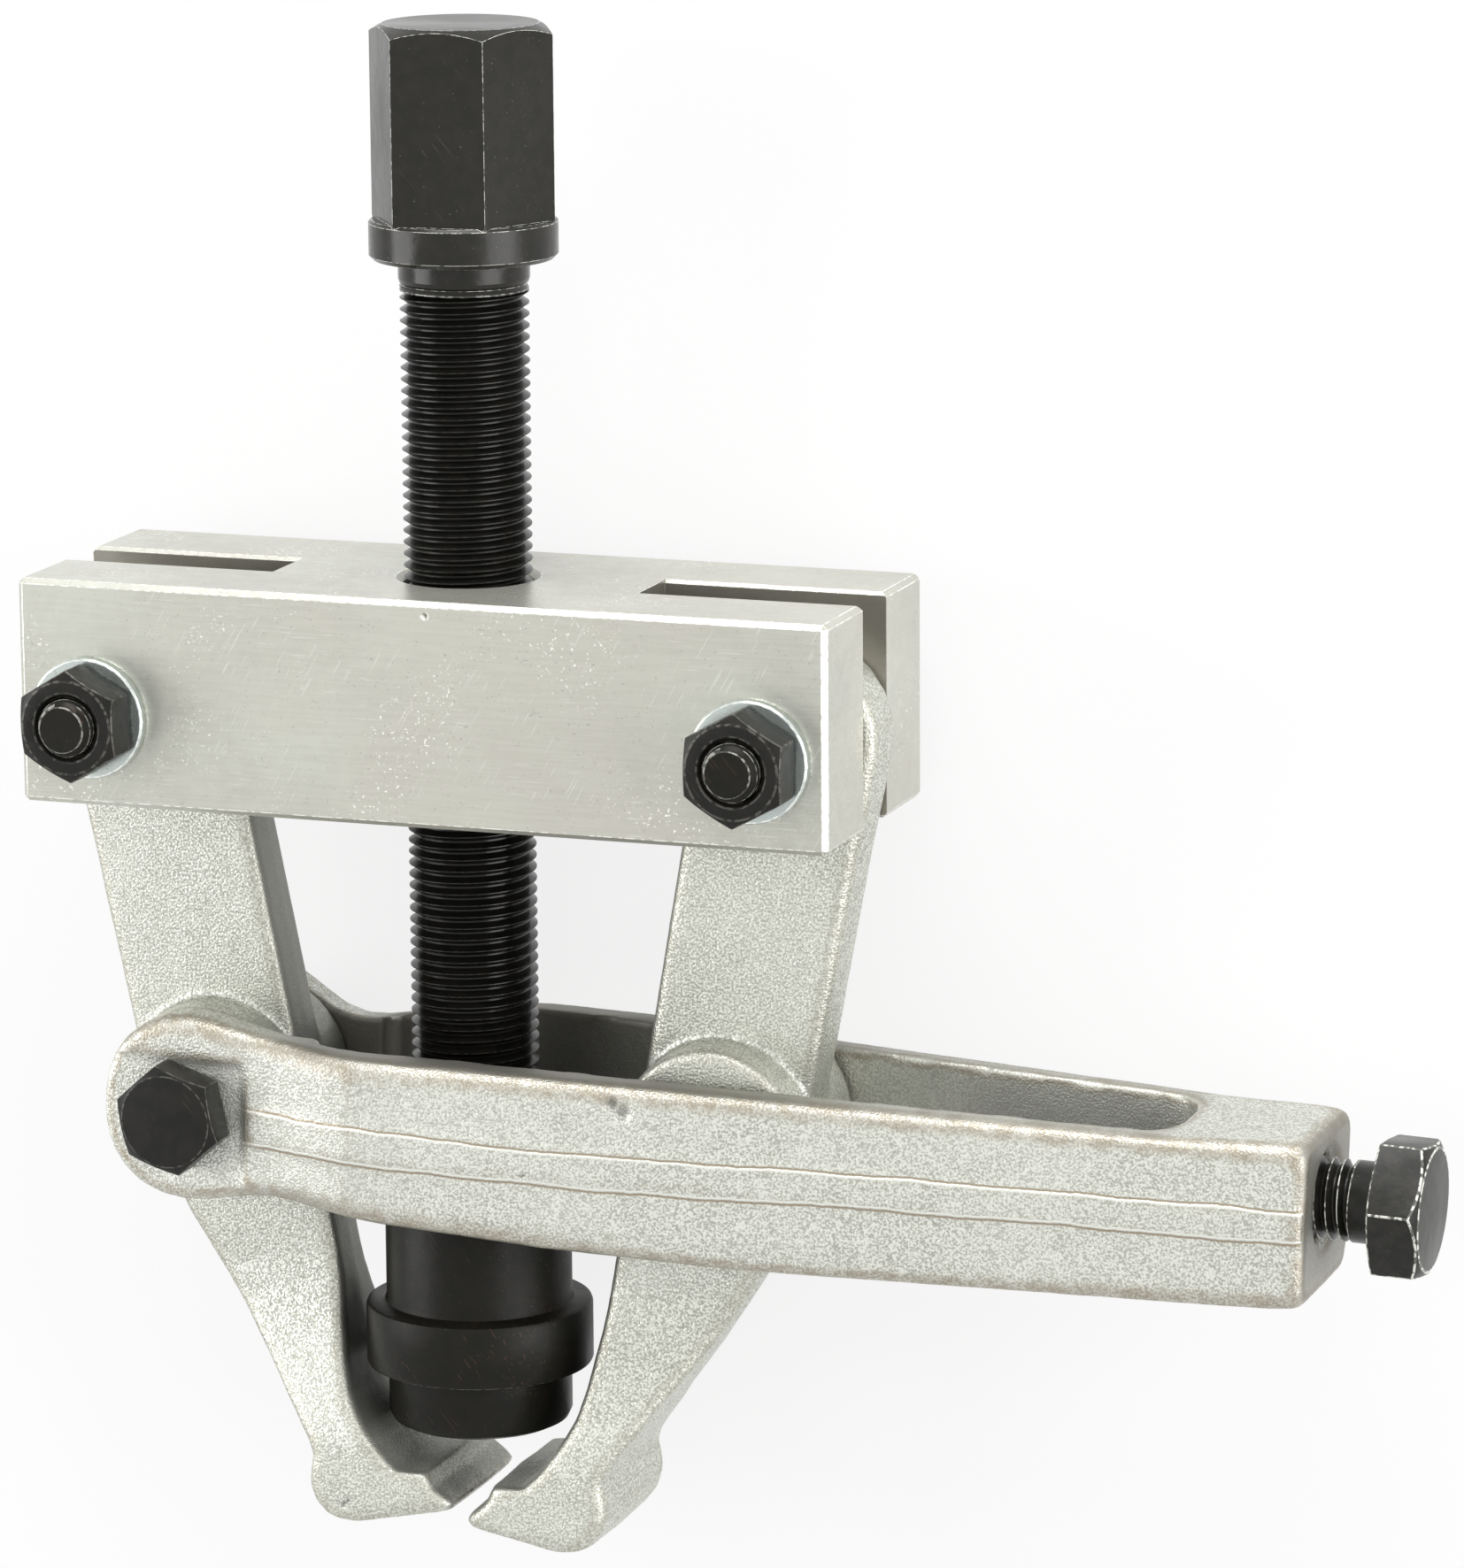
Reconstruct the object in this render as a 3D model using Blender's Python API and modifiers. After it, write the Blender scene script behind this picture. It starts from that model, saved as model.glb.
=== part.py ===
"""Two-armed bearing ring puller with a side clamping stirrup, lying on its back.

World axes: +X runs along the beam towards the clamp screw, +Y runs up the spindle
to its hexagon, +Z points out of the front face. The origin is the middle of the
hexagon's top face, where a wrench drives the puller. Heights below are measured
from the middle of the beam, in millimetres, and the scene is in metres.
"""

import math

import bmesh
import bpy
from mathutils import Matrix, Vector

MM = 0.001
Point = tuple[float, float]

# Beam
BEAM_LENGTH = 146.0
BEAM_HEIGHT = 39.0
BEAM_DEPTH = 50.5
BEAM_CHAMFER = 0.9
SLOT_WIDTH = 12.4
SLOT_LENGTH = 39.6
SLOT_MOUTH_CHAMFER = 0.6
PIVOT_END = 13.2
PIVOT_Y = -3.9
PUNCH_MARK_XY = (1.9, 17.1)

# Spindle, a metric 22 x 2 screw turned by a 28 mm hexagon
SPINDLE_R = 11.0
SPINDLE_NECK_R = 10.6
SPINDLE_HEX_AF = 28.0
SPINDLE_HEX_TOP = 113.9
SPINDLE_HEX_BASE = 80.9
SPINDLE_HEX_TURN = math.radians(34.6)
COLLAR_R = 16.1
COLLAR_BASE = 74.1
NECK_LENGTH = 5.1
THREAD_BOTTOM = -86.6
JOURNAL_R = 9.5
JOURNAL_BOTTOM = -113.0

# Thrust piece on the spindle's lower end
SLEEVE_R = 16.2
SLEEVE_TOP = -88.0
FLANGE_R = 19.8
FLANGE_TOP = -108.4
FLANGE_BOTTOM = -119.6
NOSE_R = 16.0
NOSE_BOTTOM = -130.1
SLEEVE_BORE_R = 9.9
BALL_R = 5.0
BALL_Y = -114.2
RING_Y = -94.0
RING_WIRE_R = 1.05
RING_MEAN_R = 9.75
RING_GAP = math.radians(16.0)

# Legs, measured down the leg (v) and inwards (u) from the pivot
TOE_POINT = (30.5, 147.5)
SHANK_POINT = (14.45, 121.0)
LEFT_TOE_X = 0.700
RIGHT_TOE_X = -2.444
LEG_CLEARANCE = 0.5
LEG_HEEL_TRIM_RIGHT = 1.2
LEG_SOLE_EXTRA_RIGHT = 1.2
LEG_EDGE_R = 1.8
BOSS_U = -0.9
BOSS_V = 70.8
BOSS_R = 16.7
BOSS_HALF_THICKNESS = 14.7

# Stirrup, measured from its pivot along its own axis
STIRRUP_TILT = math.radians(-1.9)
STIRRUP_INNER = 15.0
SPOT_FACE = 23.0
SPOT_FACE_LEDGE = 10.0
SPOT_FACE_WALL = 12.3
STIRRUP_LENGTH = 198.2
BLOCK_LENGTH = 24.3
CLAMP_AXIS_Y = 2.4

# Fasteners
BOLT_R = 4.95
BOLT_HOLE_R = 5.3
NUT_BORE_R = 5.2
M10_AF = 17.0
M10_HEAD = 6.4
M10_NUT = 8.0
M10_BEAM_LENGTH = 65.0
M10_STIRRUP_LENGTH = 55.0
WASHER_R = 10.5
WASHER_BORE_R = 5.25
WASHER_THICKNESS = 1.95
CLAMP_R = 6.95
CLAMP_HOLE_R = 7.25
CLAMP_AF = 22.0
CLAMP_HEAD = 8.8
CLAMP_LENGTH = 80.0
CLAMP_HEX_TURN = math.radians(23.2)
CLAMP_HEAD_STANDOFF = 9.3
CLAMP_TIP_CLEARANCE = 8.0

# Clearances
SEAT_GAP = 0.15
BORE_GAP = 0.3

# Derived
MID = BEAM_DEPTH / 2.0
PIVOT_X = BEAM_LENGTH / 2.0 - PIVOT_END
SLOT_INNER_X = BEAM_LENGTH / 2.0 - SLOT_LENGTH
THREAD_TOP = COLLAR_BASE - NECK_LENGTH
WINDOW_END = STIRRUP_LENGTH - BLOCK_LENGTH
TURN_STEPS = 40
SMALL_STEPS = 32


def closing_lean(toe_x: float) -> float:
    """The lean at which a leg's toe comes to toe_x, or its shank to the thrust piece."""
    reach = math.hypot(*TOE_POINT)
    toe = math.asin((PIVOT_X + toe_x) / reach) - math.atan2(*TOE_POINT)
    reach = math.hypot(*SHANK_POINT)
    room = PIVOT_X - FLANGE_R - LEG_CLEARANCE
    shank = math.asin(room / reach) - math.atan2(*SHANK_POINT)
    return min(toe, shank)


LEG_LEAN_LEFT = closing_lean(LEFT_TOE_X)
LEG_LEAN_RIGHT = closing_lean(RIGHT_TOE_X)


def boss_place(lean: float) -> tuple[float, float]:
    """Where a leg's boss stands, outwards from the spindle and up, at a lean."""
    inwards = BOSS_U * math.cos(lean) + BOSS_V * math.sin(lean)
    return PIVOT_X - inwards, PIVOT_Y + BOSS_U * math.sin(lean) - BOSS_V * math.cos(lean)


def clamp_head_x() -> float:
    """The clamp head's place along the stirrup, its tip clear of the right boss."""
    left_out, left_up = boss_place(LEG_LEAN_LEFT)
    right_out, right_up = boss_place(LEG_LEAN_RIGHT)
    tilt = STIRRUP_TILT
    boss = (left_out + right_out) * math.cos(tilt) + (right_up - left_up) * math.sin(tilt)
    backed_out = boss + BOSS_R + CLAMP_TIP_CLEARANCE + CLAMP_LENGTH
    return max(STIRRUP_LENGTH + CLAMP_HEAD_STANDOFF, backed_out)


CLAMP_HEAD_X = clamp_head_x()


def clear_scene() -> None:
    """Remove every object, so that only the puller is left in the scene."""
    for obj in list(bpy.data.objects):
        bpy.data.objects.remove(obj, do_unlink=True)


def new_collection(name: str, hidden: bool) -> bpy.types.Collection:
    """A collection linked to the scene, left out of renders when hidden."""
    group = bpy.data.collections.new(name)
    bpy.context.scene.collection.children.link(group)
    group.hide_render = hidden
    return group


def new_look(
    name: str, colour: tuple[float, float, float], roughness: float, metallic: float
) -> bpy.types.Material:
    """A plain Principled material with the given base colour."""
    look = bpy.data.materials.new(name)
    look.use_nodes = True
    shader = look.node_tree.nodes["Principled BSDF"]
    shader.inputs["Base Color"].default_value = (*colour, 1.0)
    shader.inputs["Roughness"].default_value = roughness
    shader.inputs["Metallic"].default_value = metallic
    look.diffuse_color = (*colour, 1.0)
    return look


clear_scene()
PARTS = new_collection("bearing_ring_puller", hidden=False)
CUTTERS = new_collection("cutters", hidden=True)
ZINC = new_look("zinc_plated_steel", (0.58, 0.58, 0.53), 0.34, 0.9)
FORGED = new_look("galvanised_forging", (0.45, 0.45, 0.40), 0.48, 0.85)
BLACK = new_look("black_oxide_steel", (0.035, 0.036, 0.033), 0.32, 0.8)
BALL_STEEL = new_look("hardened_steel", (0.55, 0.56, 0.57), 0.15, 1.0)
SPRING_STEEL = new_look("spring_steel", (0.18, 0.18, 0.18), 0.3, 0.9)


def add_part(
    name: str, mesh: bpy.types.Mesh, look: bpy.types.Material
) -> bpy.types.Object:
    """A visible object that becomes one node of the puller."""
    obj = bpy.data.objects.new(name, mesh)
    mesh.materials.append(look)
    PARTS.objects.link(obj)
    return obj


def add_tool(
    name: str, mesh: bpy.types.Mesh, owner: bpy.types.Object | None = None
) -> bpy.types.Object:
    """A hidden shape that Booleans use, in its owner's own frame."""
    obj = bpy.data.objects.new(name, mesh)
    CUTTERS.objects.link(obj)
    obj.hide_render = True
    obj.display_type = "WIRE"
    obj.parent = owner
    return obj


def apply_tool(
    target: bpy.types.Object, tool: bpy.types.Object, operation: str
) -> None:
    """Join, cut or intersect the target with the tool."""
    step = target.modifiers.new(tool.name, "BOOLEAN")
    step.operation = operation
    step.solver = "EXACT"
    step.object = tool


def profile_mesh(name: str, profile: list[Point], closed: bool) -> bpy.types.Mesh:
    """A profile of (radius, height) points in the XZ plane, for a Screw."""
    count = len(profile)
    edges = [(i, (i + 1) % count) for i in range(count if closed else count - 1)]
    mesh = bpy.data.meshes.new(name)
    mesh.from_pydata([(r * MM, 0.0, z * MM) for r, z in profile], edges, [])
    return mesh


def turn(
    obj: bpy.types.Object, steps: int = TURN_STEPS, angle: float = math.tau
) -> None:
    """Revolve the object's profile about its own Z axis."""
    screw = obj.modifiers.new("turn", "SCREW")
    screw.axis = "Z"
    screw.angle = angle
    screw.steps = steps
    screw.render_steps = steps
    screw.use_merge_vertices = angle >= math.tau
    screw.merge_threshold = 1e-5


def turned_tool(
    name: str,
    profile: list[Point],
    owner: bpy.types.Object | None,
    steps: int = TURN_STEPS,
) -> bpy.types.Object:
    """A hidden solid of revolution from the axis to the axis."""
    tool = add_tool(name, profile_mesh(name, profile, closed=False), owner)
    turn(tool, steps)
    return tool


def drill(
    name: str,
    owner: bpy.types.Object,
    radius: float,
    half_length: float,
    steps: int = SMALL_STEPS,
) -> bpy.types.Object:
    """A hidden plain drill centred on the owner's origin, along local Z."""
    profile = [
        (0.0, half_length),
        (radius, half_length),
        (radius, -half_length),
        (0.0, -half_length),
    ]
    return turned_tool(name, profile, owner, steps)


def hexagon_mesh(
    name: str, across_flats: float, bottom: float, top: float
) -> bpy.types.Mesh:
    """A hexagonal prism along Z with a vertex on the Y axis."""
    body = bmesh.new()
    radius = across_flats / math.sqrt(3.0) * MM
    bmesh.ops.create_cone(
        body,
        cap_ends=True,
        segments=6,
        radius1=radius,
        radius2=radius,
        depth=(top - bottom) * MM,
        matrix=Matrix.Translation((0.0, 0.0, (top + bottom) / 2.0 * MM)),
    )
    mesh = bpy.data.meshes.new(name)
    body.to_mesh(mesh)
    body.free()
    return mesh


def box_mesh(name: str, low: tuple[float, ...], high: tuple[float, ...]) -> bpy.types.Mesh:
    """A box between two corners."""
    body = bmesh.new()
    size = [(b - a) * MM for a, b in zip(low, high)]
    middle = [(a + b) / 2.0 * MM for a, b in zip(low, high)]
    scale = Matrix.Diagonal((*size, 1.0))
    bmesh.ops.create_cube(body, size=1.0, matrix=Matrix.Translation(middle) @ scale)
    mesh = bpy.data.meshes.new(name)
    body.to_mesh(mesh)
    body.free()
    return mesh


def prism_mesh(
    name: str, outline: list[Point], axis: str, low: float, high: float
) -> bpy.types.Mesh:
    """An outline extruded along X, or along Y with the outline in the ZX plane."""
    body = bmesh.new()

    def place(a: float, b: float, c: float) -> Vector:
        order = (c, a, b) if axis == "X" else (b, c, a)
        return Vector(order) * MM

    face = body.faces.new([body.verts.new(place(a, b, low)) for a, b in outline])
    grown = bmesh.ops.extrude_face_region(body, geom=[face])
    moved = [item for item in grown["geom"] if isinstance(item, bmesh.types.BMVert)]
    bmesh.ops.translate(body, verts=moved, vec=place(0.0, 0.0, high - low))
    bmesh.ops.recalc_face_normals(body, faces=list(body.faces))
    mesh = bpy.data.meshes.new(name)
    body.to_mesh(mesh)
    body.free()
    return mesh


def loft_mesh(name: str, rings: list[list[Vector]]) -> bpy.types.Mesh:
    """A closed skin over rings of equally many points, capped at both ends."""
    body = bmesh.new()
    rows = [[body.verts.new(point * MM) for point in ring] for ring in rings]
    count = len(rings[0])
    for upper, lower in zip(rows, rows[1:]):
        for i in range(count):
            j = (i + 1) % count
            body.faces.new((upper[i], upper[j], lower[j], lower[i]))
    body.faces.new(rows[0])
    body.faces.new(list(reversed(rows[-1])))
    bmesh.ops.triangulate(body, faces=list(body.faces))
    bmesh.ops.recalc_face_normals(body, faces=list(body.faces))
    mesh = bpy.data.meshes.new(name)
    body.to_mesh(mesh)
    body.free()
    return mesh


def corner(
    centre: Point, radius: float, start: float, points: int = 4
) -> list[Point]:
    """Points of a quarter circle that starts at the given angle in degrees."""
    angles = [math.radians(start + 90.0 * k / (points - 1)) for k in range(points)]
    return [
        (centre[0] + radius * math.cos(a), centre[1] + radius * math.sin(a))
        for a in angles
    ]


def leg_section(
    outer: float, inner: float, half: float, side: float
) -> list[Point]:
    """A rounded bar section with a parting ridge on its two narrow sides."""
    radius = min(LEG_EDGE_R, 0.42 * (inner - outer), 0.6 * half)
    draft = min(0.35, 0.1 * (inner - outer))
    low = outer + radius + draft
    high = inner - radius - draft
    points = corner((high, half - radius), radius, 0.0, 3)
    points += corner((low, half - radius), radius, 90.0, 3)
    points += [(outer, 0.0)]
    points += corner((low, radius - half), radius, 180.0, 3)
    points += corner((high, radius - half), radius, 270.0, 3)
    points += [(inner, 0.0)]
    return [(side * a, b) for a, b in points]


LEG_STATIONS = (
    # down the leg, outer edge, inner edge, half thickness
    (-15.46, -1.3, 1.3, 4.7),
    (-15.1, -3.5, 3.5, 5.3),
    (-14.2, -6.2, 6.2, 5.75),
    (-12.3, -9.4, 9.4, 5.9),
    (-9.2, -12.5, 12.5, 5.9),
    (-5.0, -14.8, 14.7, 5.9),
    (0.0, -15.6, 15.5, 5.9),
    (8.0, -15.6, 16.0, 5.9),
    (18.0, -15.3, 16.3, 5.9),
    (40.0, -15.3, 16.0, 5.9),
    (58.0, -15.3, 15.7, 5.9),
    (70.4, -15.1, 15.6, 5.9),
    (82.0, -14.6, 15.5, 5.9),
    (91.0, -12.9, 15.3, 5.9),
    (102.0, -8.6, 15.0, 5.95),
    (106.5, -6.6, 14.8, 6.5),
    (111.0, -4.6, 14.6, 7.8),
    (116.0, -2.3, 14.5, 9.7),
    (121.0, 0.0, 14.45, 11.6),
    (126.0, 2.0, 14.8, 13.4),
    (130.0, 3.8, 16.0, 14.8),
    (133.0, 5.0, 17.2, 15.6),
    (135.6, 5.4, 18.5, 15.9),
    (138.0, 4.4, 20.0, 16.0),
    (140.0, 3.8, 21.5, 16.0),
    (141.2, 3.7, 26.7, 16.0),
    (143.8, 4.1, 27.4, 16.0),
    (146.3, 5.6, 29.7, 15.9),
    (147.5, 7.4, 30.5, 15.6),
    (148.5, 10.4, 29.7, 15.0),
)


def make_leg(
    name: str, side: float, lean: float, trim: float = 0.0, sole: float = 0.0
) -> bpy.types.Object:
    """A forged claw leg hung from the beam, its claw turned to the spindle."""
    rings = []
    for v, outer, inner, half in LEG_STATIONS:
        heel = outer + trim * min(1.0, max(0.0, (v - 112.0) / 20.0))
        reach = v + sole * max(0.0, (v - 141.2) / 7.3)
        ring = [Vector((u, -reach, w)) for u, w in leg_section(heel, inner, half, side)]
        rings.append(ring)
    leg = add_part(name, loft_mesh(name, rings), FORGED)
    leg.location = (-side * PIVOT_X * MM, PIVOT_Y * MM, 0.0)
    leg.rotation_euler = (0.0, 0.0, side * lean)
    half = BOSS_HALF_THICKNESS
    boss = turned_tool(
        name + "_boss",
        [
            (0.0, half),
            (BOSS_R - 1.4, half),
            (BOSS_R - 0.5, half - 0.4),
            (BOSS_R - 0.2, half - 1.3),
            (BOSS_R, 0.0),
            (BOSS_R - 0.2, 1.3 - half),
            (BOSS_R - 0.5, 0.4 - half),
            (BOSS_R - 1.4, -half),
            (0.0, -half),
        ],
        leg,
    )
    boss.location = (side * BOSS_U * MM, -BOSS_V * MM, 0.0)
    apply_tool(leg, boss, "UNION")
    apply_tool(leg, drill(name + "_pivot_bore", leg, BOLT_HOLE_R, 12.0), "DIFFERENCE")
    bore = drill(name + "_boss_bore", leg, BOLT_HOLE_R, 20.0)
    bore.location = (side * BOSS_U * MM, -BOSS_V * MM, 0.0)
    apply_tool(leg, bore, "DIFFERENCE")
    return leg


def slot_outline() -> list[Point]:
    """The slot's section across the beam, flared at its upper and lower mouths."""
    half = SLOT_WIDTH / 2.0
    top = BEAM_HEIGHT / 2.0
    flare = SLOT_MOUTH_CHAMFER
    over = 3.0
    right = [
        (-top - over, half + flare + over),
        (-top + flare, half),
        (top - flare, half),
        (top + over, half + flare + over),
    ]
    return right + [(a, -b) for a, b in reversed(right)]


def make_beam() -> bpy.types.Object:
    """The slotted cross beam with its threaded centre and two bolt holes."""
    size = (BEAM_LENGTH / 2.0, BEAM_HEIGHT / 2.0, BEAM_DEPTH / 2.0)
    mesh = box_mesh("beam", tuple(-s for s in size), size)
    beam = add_part("beam", mesh, ZINC)
    beam.location = (0.0, -SPINDLE_HEX_TOP * MM, 0.0)
    edges = beam.modifiers.new("chamfer", "BEVEL")
    edges.width = BEAM_CHAMFER * MM
    edges.segments = 1
    for side, label in ((-1.0, "left"), (1.0, "right")):
        ends = sorted((side * SLOT_INNER_X, side * (BEAM_LENGTH / 2.0 + 5.0)))
        mesh = prism_mesh(label + "_slot", slot_outline(), "X", ends[0], ends[1])
        apply_tool(beam, add_tool(label + "_slot", mesh, beam), "DIFFERENCE")
        hole = drill(label + "_beam_hole", beam, BOLT_HOLE_R, BEAM_DEPTH)
        hole.location = (side * PIVOT_X * MM, PIVOT_Y * MM, 0.0)
        apply_tool(beam, hole, "DIFFERENCE")
    top = BEAM_HEIGHT / 2.0
    bore_r = SPINDLE_R + BORE_GAP
    bore = turned_tool(
        "spindle_bore",
        [
            (0.0, top + 3.0),
            (bore_r + 4.2, top + 3.0),
            (bore_r, top - 1.2),
            (bore_r, 1.2 - top),
            (bore_r + 4.2, -top - 3.0),
            (0.0, -top - 3.0),
        ],
        beam,
    )
    bore.rotation_euler = (-math.pi / 2.0, 0.0, 0.0)
    apply_tool(beam, bore, "DIFFERENCE")
    mark = turned_tool("punch_mark", [(0.0, 1.0), (1.7, 1.0), (0.0, -0.7)], beam, 16)
    mark.location = (PUNCH_MARK_XY[0] * MM, PUNCH_MARK_XY[1] * MM, MID * MM)
    apply_tool(beam, mark, "DIFFERENCE")
    return beam


def hex_limits(across_flats: float) -> tuple[float, float, float]:
    """Outer radius, face radius and drop of the 30 degree corner chamfer."""
    outer = across_flats / math.sqrt(3.0) + 0.2
    face = 0.475 * across_flats
    return outer, face, (outer - face) * math.tan(math.radians(30.0))


def make_spindle(beam: bpy.types.Object) -> bpy.types.Object:
    """The pressure spindle: hexagon, collar, neck, thread body and journal."""
    outer, face, drop = hex_limits(SPINDLE_HEX_AF)
    seat = BALL_R + BORE_GAP
    apex = BALL_Y + seat * math.sqrt(2.0)
    groove_r = RING_MEAN_R - RING_WIRE_R - BORE_GAP
    half = RING_WIRE_R + BORE_GAP
    profile = [
        (0.0, SPINDLE_HEX_BASE + 1.0),
        (SPINDLE_HEX_AF / 2.0 - 0.4, SPINDLE_HEX_BASE + 1.0),
        (SPINDLE_HEX_AF / 2.0 - 0.2, SPINDLE_HEX_BASE),
        (COLLAR_R - 0.5, SPINDLE_HEX_BASE),
        (COLLAR_R, SPINDLE_HEX_BASE - 0.5),
        (COLLAR_R, COLLAR_BASE + 0.8),
        (COLLAR_R - 0.8, COLLAR_BASE),
        (SPINDLE_NECK_R + 0.8, COLLAR_BASE),
        (SPINDLE_NECK_R, COLLAR_BASE - 0.8),
        (SPINDLE_NECK_R, THREAD_TOP + 0.8),
        (SPINDLE_R, THREAD_TOP),
        (SPINDLE_R, THREAD_BOTTOM + 1.5),
        (JOURNAL_R, THREAD_BOTTOM),
        (JOURNAL_R, RING_Y + half),
        (groove_r, RING_Y + half),
        (groove_r, RING_Y - half),
        (JOURNAL_R, RING_Y - half),
        (JOURNAL_R, JOURNAL_BOTTOM + 1.0),
        (JOURNAL_R - 1.0, JOURNAL_BOTTOM),
        (apex - JOURNAL_BOTTOM, JOURNAL_BOTTOM),
        (0.0, apex),
    ]
    mesh = profile_mesh("spindle", profile, closed=False)
    spindle = add_part("spindle", mesh, BLACK)
    turn(spindle)
    spindle.rotation_euler = (-math.pi / 2.0, 0.0, 0.0)
    spindle.parent = beam
    head = turned_tool(
        "spindle_head",
        [
            (0.0, SPINDLE_HEX_TOP),
            (face, SPINDLE_HEX_TOP),
            (outer, SPINDLE_HEX_TOP - drop),
            (outer, SPINDLE_HEX_BASE + 0.4),
            (outer - 0.4, SPINDLE_HEX_BASE - 0.4),
            (0.0, SPINDLE_HEX_BASE - 0.4),
        ],
        spindle,
    )
    mesh = hexagon_mesh(
        "spindle_hexagon", SPINDLE_HEX_AF, SPINDLE_HEX_BASE - 5.0, SPINDLE_HEX_TOP + 5.0
    )
    hexagon = add_tool("spindle_hexagon", mesh, spindle)
    hexagon.rotation_euler = (0.0, 0.0, SPINDLE_HEX_TURN)
    apply_tool(head, hexagon, "INTERSECT")
    apply_tool(spindle, head, "UNION")
    return spindle


def make_thrust_piece(beam: bpy.types.Object) -> bpy.types.Object:
    """The turned pressure foot that the spindle pushes through a ball."""
    half = RING_WIRE_R + BORE_GAP
    groove_r = RING_MEAN_R + RING_WIRE_R + BORE_GAP + 0.2
    seat = BALL_R + BORE_GAP
    apex = BALL_Y - seat * math.sqrt(2.0)
    floor = BALL_Y - 1.4
    profile = [
        (0.0, apex),
        (floor - apex, floor),
        (SLEEVE_BORE_R, floor),
        (SLEEVE_BORE_R, RING_Y - half),
        (groove_r, RING_Y - half),
        (groove_r, RING_Y + half),
        (SLEEVE_BORE_R, RING_Y + half),
        (SLEEVE_BORE_R, SLEEVE_TOP - 0.8),
        (SLEEVE_BORE_R + 0.8, SLEEVE_TOP),
        (SLEEVE_R - 0.8, SLEEVE_TOP),
        (SLEEVE_R, SLEEVE_TOP - 0.8),
        (SLEEVE_R, FLANGE_TOP + 0.6),
        (SLEEVE_R + 0.6, FLANGE_TOP),
        (FLANGE_R - 0.7, FLANGE_TOP),
        (FLANGE_R, FLANGE_TOP - 0.7),
        (FLANGE_R, FLANGE_BOTTOM + 0.7),
        (FLANGE_R - 0.7, FLANGE_BOTTOM),
        (NOSE_R + 0.3, FLANGE_BOTTOM),
        (NOSE_R, FLANGE_BOTTOM - 0.4),
        (NOSE_R, NOSE_BOTTOM + 2.0),
        (NOSE_R - 0.6, NOSE_BOTTOM + 0.7),
        (NOSE_R - 2.0, NOSE_BOTTOM),
        (0.0, NOSE_BOTTOM),
    ]
    mesh = profile_mesh("thrust_piece", profile, closed=False)
    piece = add_part("thrust_piece", mesh, BLACK)
    turn(piece)
    piece.rotation_euler = (-math.pi / 2.0, 0.0, 0.0)
    piece.parent = beam
    body = bmesh.new()
    bmesh.ops.create_uvsphere(body, u_segments=20, v_segments=12, radius=BALL_R * MM)
    mesh = bpy.data.meshes.new("thrust_ball")
    body.to_mesh(mesh)
    body.free()
    ball = add_part("thrust_ball", mesh, BALL_STEEL)
    ball.location = (0.0, 0.0, BALL_Y * MM)
    ball.parent = piece
    make_retaining_ring(piece)
    return piece


def make_retaining_ring(piece: bpy.types.Object) -> None:
    """The open wire ring that holds the thrust piece on the journal."""
    steps = 32
    path = bpy.data.curves.new("retaining_ring", "CURVE")
    path.dimensions = "3D"
    line = path.splines.new("POLY")
    line.points.add(steps)
    for i in range(steps + 1):
        angle = RING_GAP / 2.0 + (math.tau - RING_GAP) * i / steps
        x = RING_MEAN_R * MM * math.cos(angle)
        y = RING_MEAN_R * MM * math.sin(angle)
        line.points[i].co = (x, y, 0.0, 1.0)
    path.bevel_depth = RING_WIRE_R * MM
    path.bevel_resolution = 1
    path.use_fill_caps = True
    path.materials.append(SPRING_STEEL)
    ring = bpy.data.objects.new("retaining_ring", path)
    PARTS.objects.link(ring)
    ring.location = (0.0, 0.0, RING_Y * MM)
    ring.rotation_euler = (0.0, 0.0, math.radians(140.0))
    ring.parent = piece


STIRRUP_STATIONS = (
    # along, top, bottom, rear arm's drop, half width outside, corner radius
    (-14.3, 3.2, -2.4, 0.0, 22.6, 0.8),
    (-13.7, 6.4, -5.4, 0.0, 23.5, 1.4),
    (-12.4, 9.6, -8.4, 0.0, 23.9, 1.8),
    (-10.4, 12.5, -11.1, 0.0, 24.0, 2.0),
    (-7.4, 15.0, -13.6, 0.0, 24.0, 2.2),
    (-3.4, 16.8, -15.2, 0.0, 24.0, 2.4),
    (0.6, 17.3, -15.7, 0.4, 24.0, 2.5),
    (4.6, 17.0, -15.4, 1.4, 24.0, 2.5),
    (8.6, 16.2, -14.6, 3.2, 24.0, 2.5),
    (12.6, 15.5, -13.7, 4.9, 24.0, 2.5),
    (16.6, 15.0, -13.3, 5.6, 24.4, 2.6),
    (20.6, 14.7, -13.4, 5.3, 25.2, 2.8),
    (24.6, 14.5, -13.7, 4.5, 26.3, 3.0),
    (28.6, 14.3, -14.0, 3.4, 27.3, 3.0),
    (32.6, 14.2, -14.4, 2.3, 27.9, 3.0),
    (38.6, 14.2, -14.9, 1.2, 27.8, 3.0),
    (50.6, 14.4, -15.6, 0.3, 26.8, 2.9),
    (68.6, 14.6, -16.3, 0.0, 25.4, 2.8),
    (100.6, 14.4, -16.7, 0.0, 22.9, 2.7),
    (145.6, 13.7, -15.8, 0.0, 19.4, 2.6),
    (175.6, 14.0, -14.8, 0.0, 17.1, 2.5),
    (192.6, 14.6, -14.1, 0.0, 15.8, 2.6),
    (196.2, 14.6, -13.8, 0.0, 15.5, 3.0),
    (197.7, 14.1, -13.2, 0.0, 15.0, 3.0),
    (198.2, 13.3, -12.4, 0.0, 14.2, 3.0),
)
EYE_END = 38.6
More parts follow.
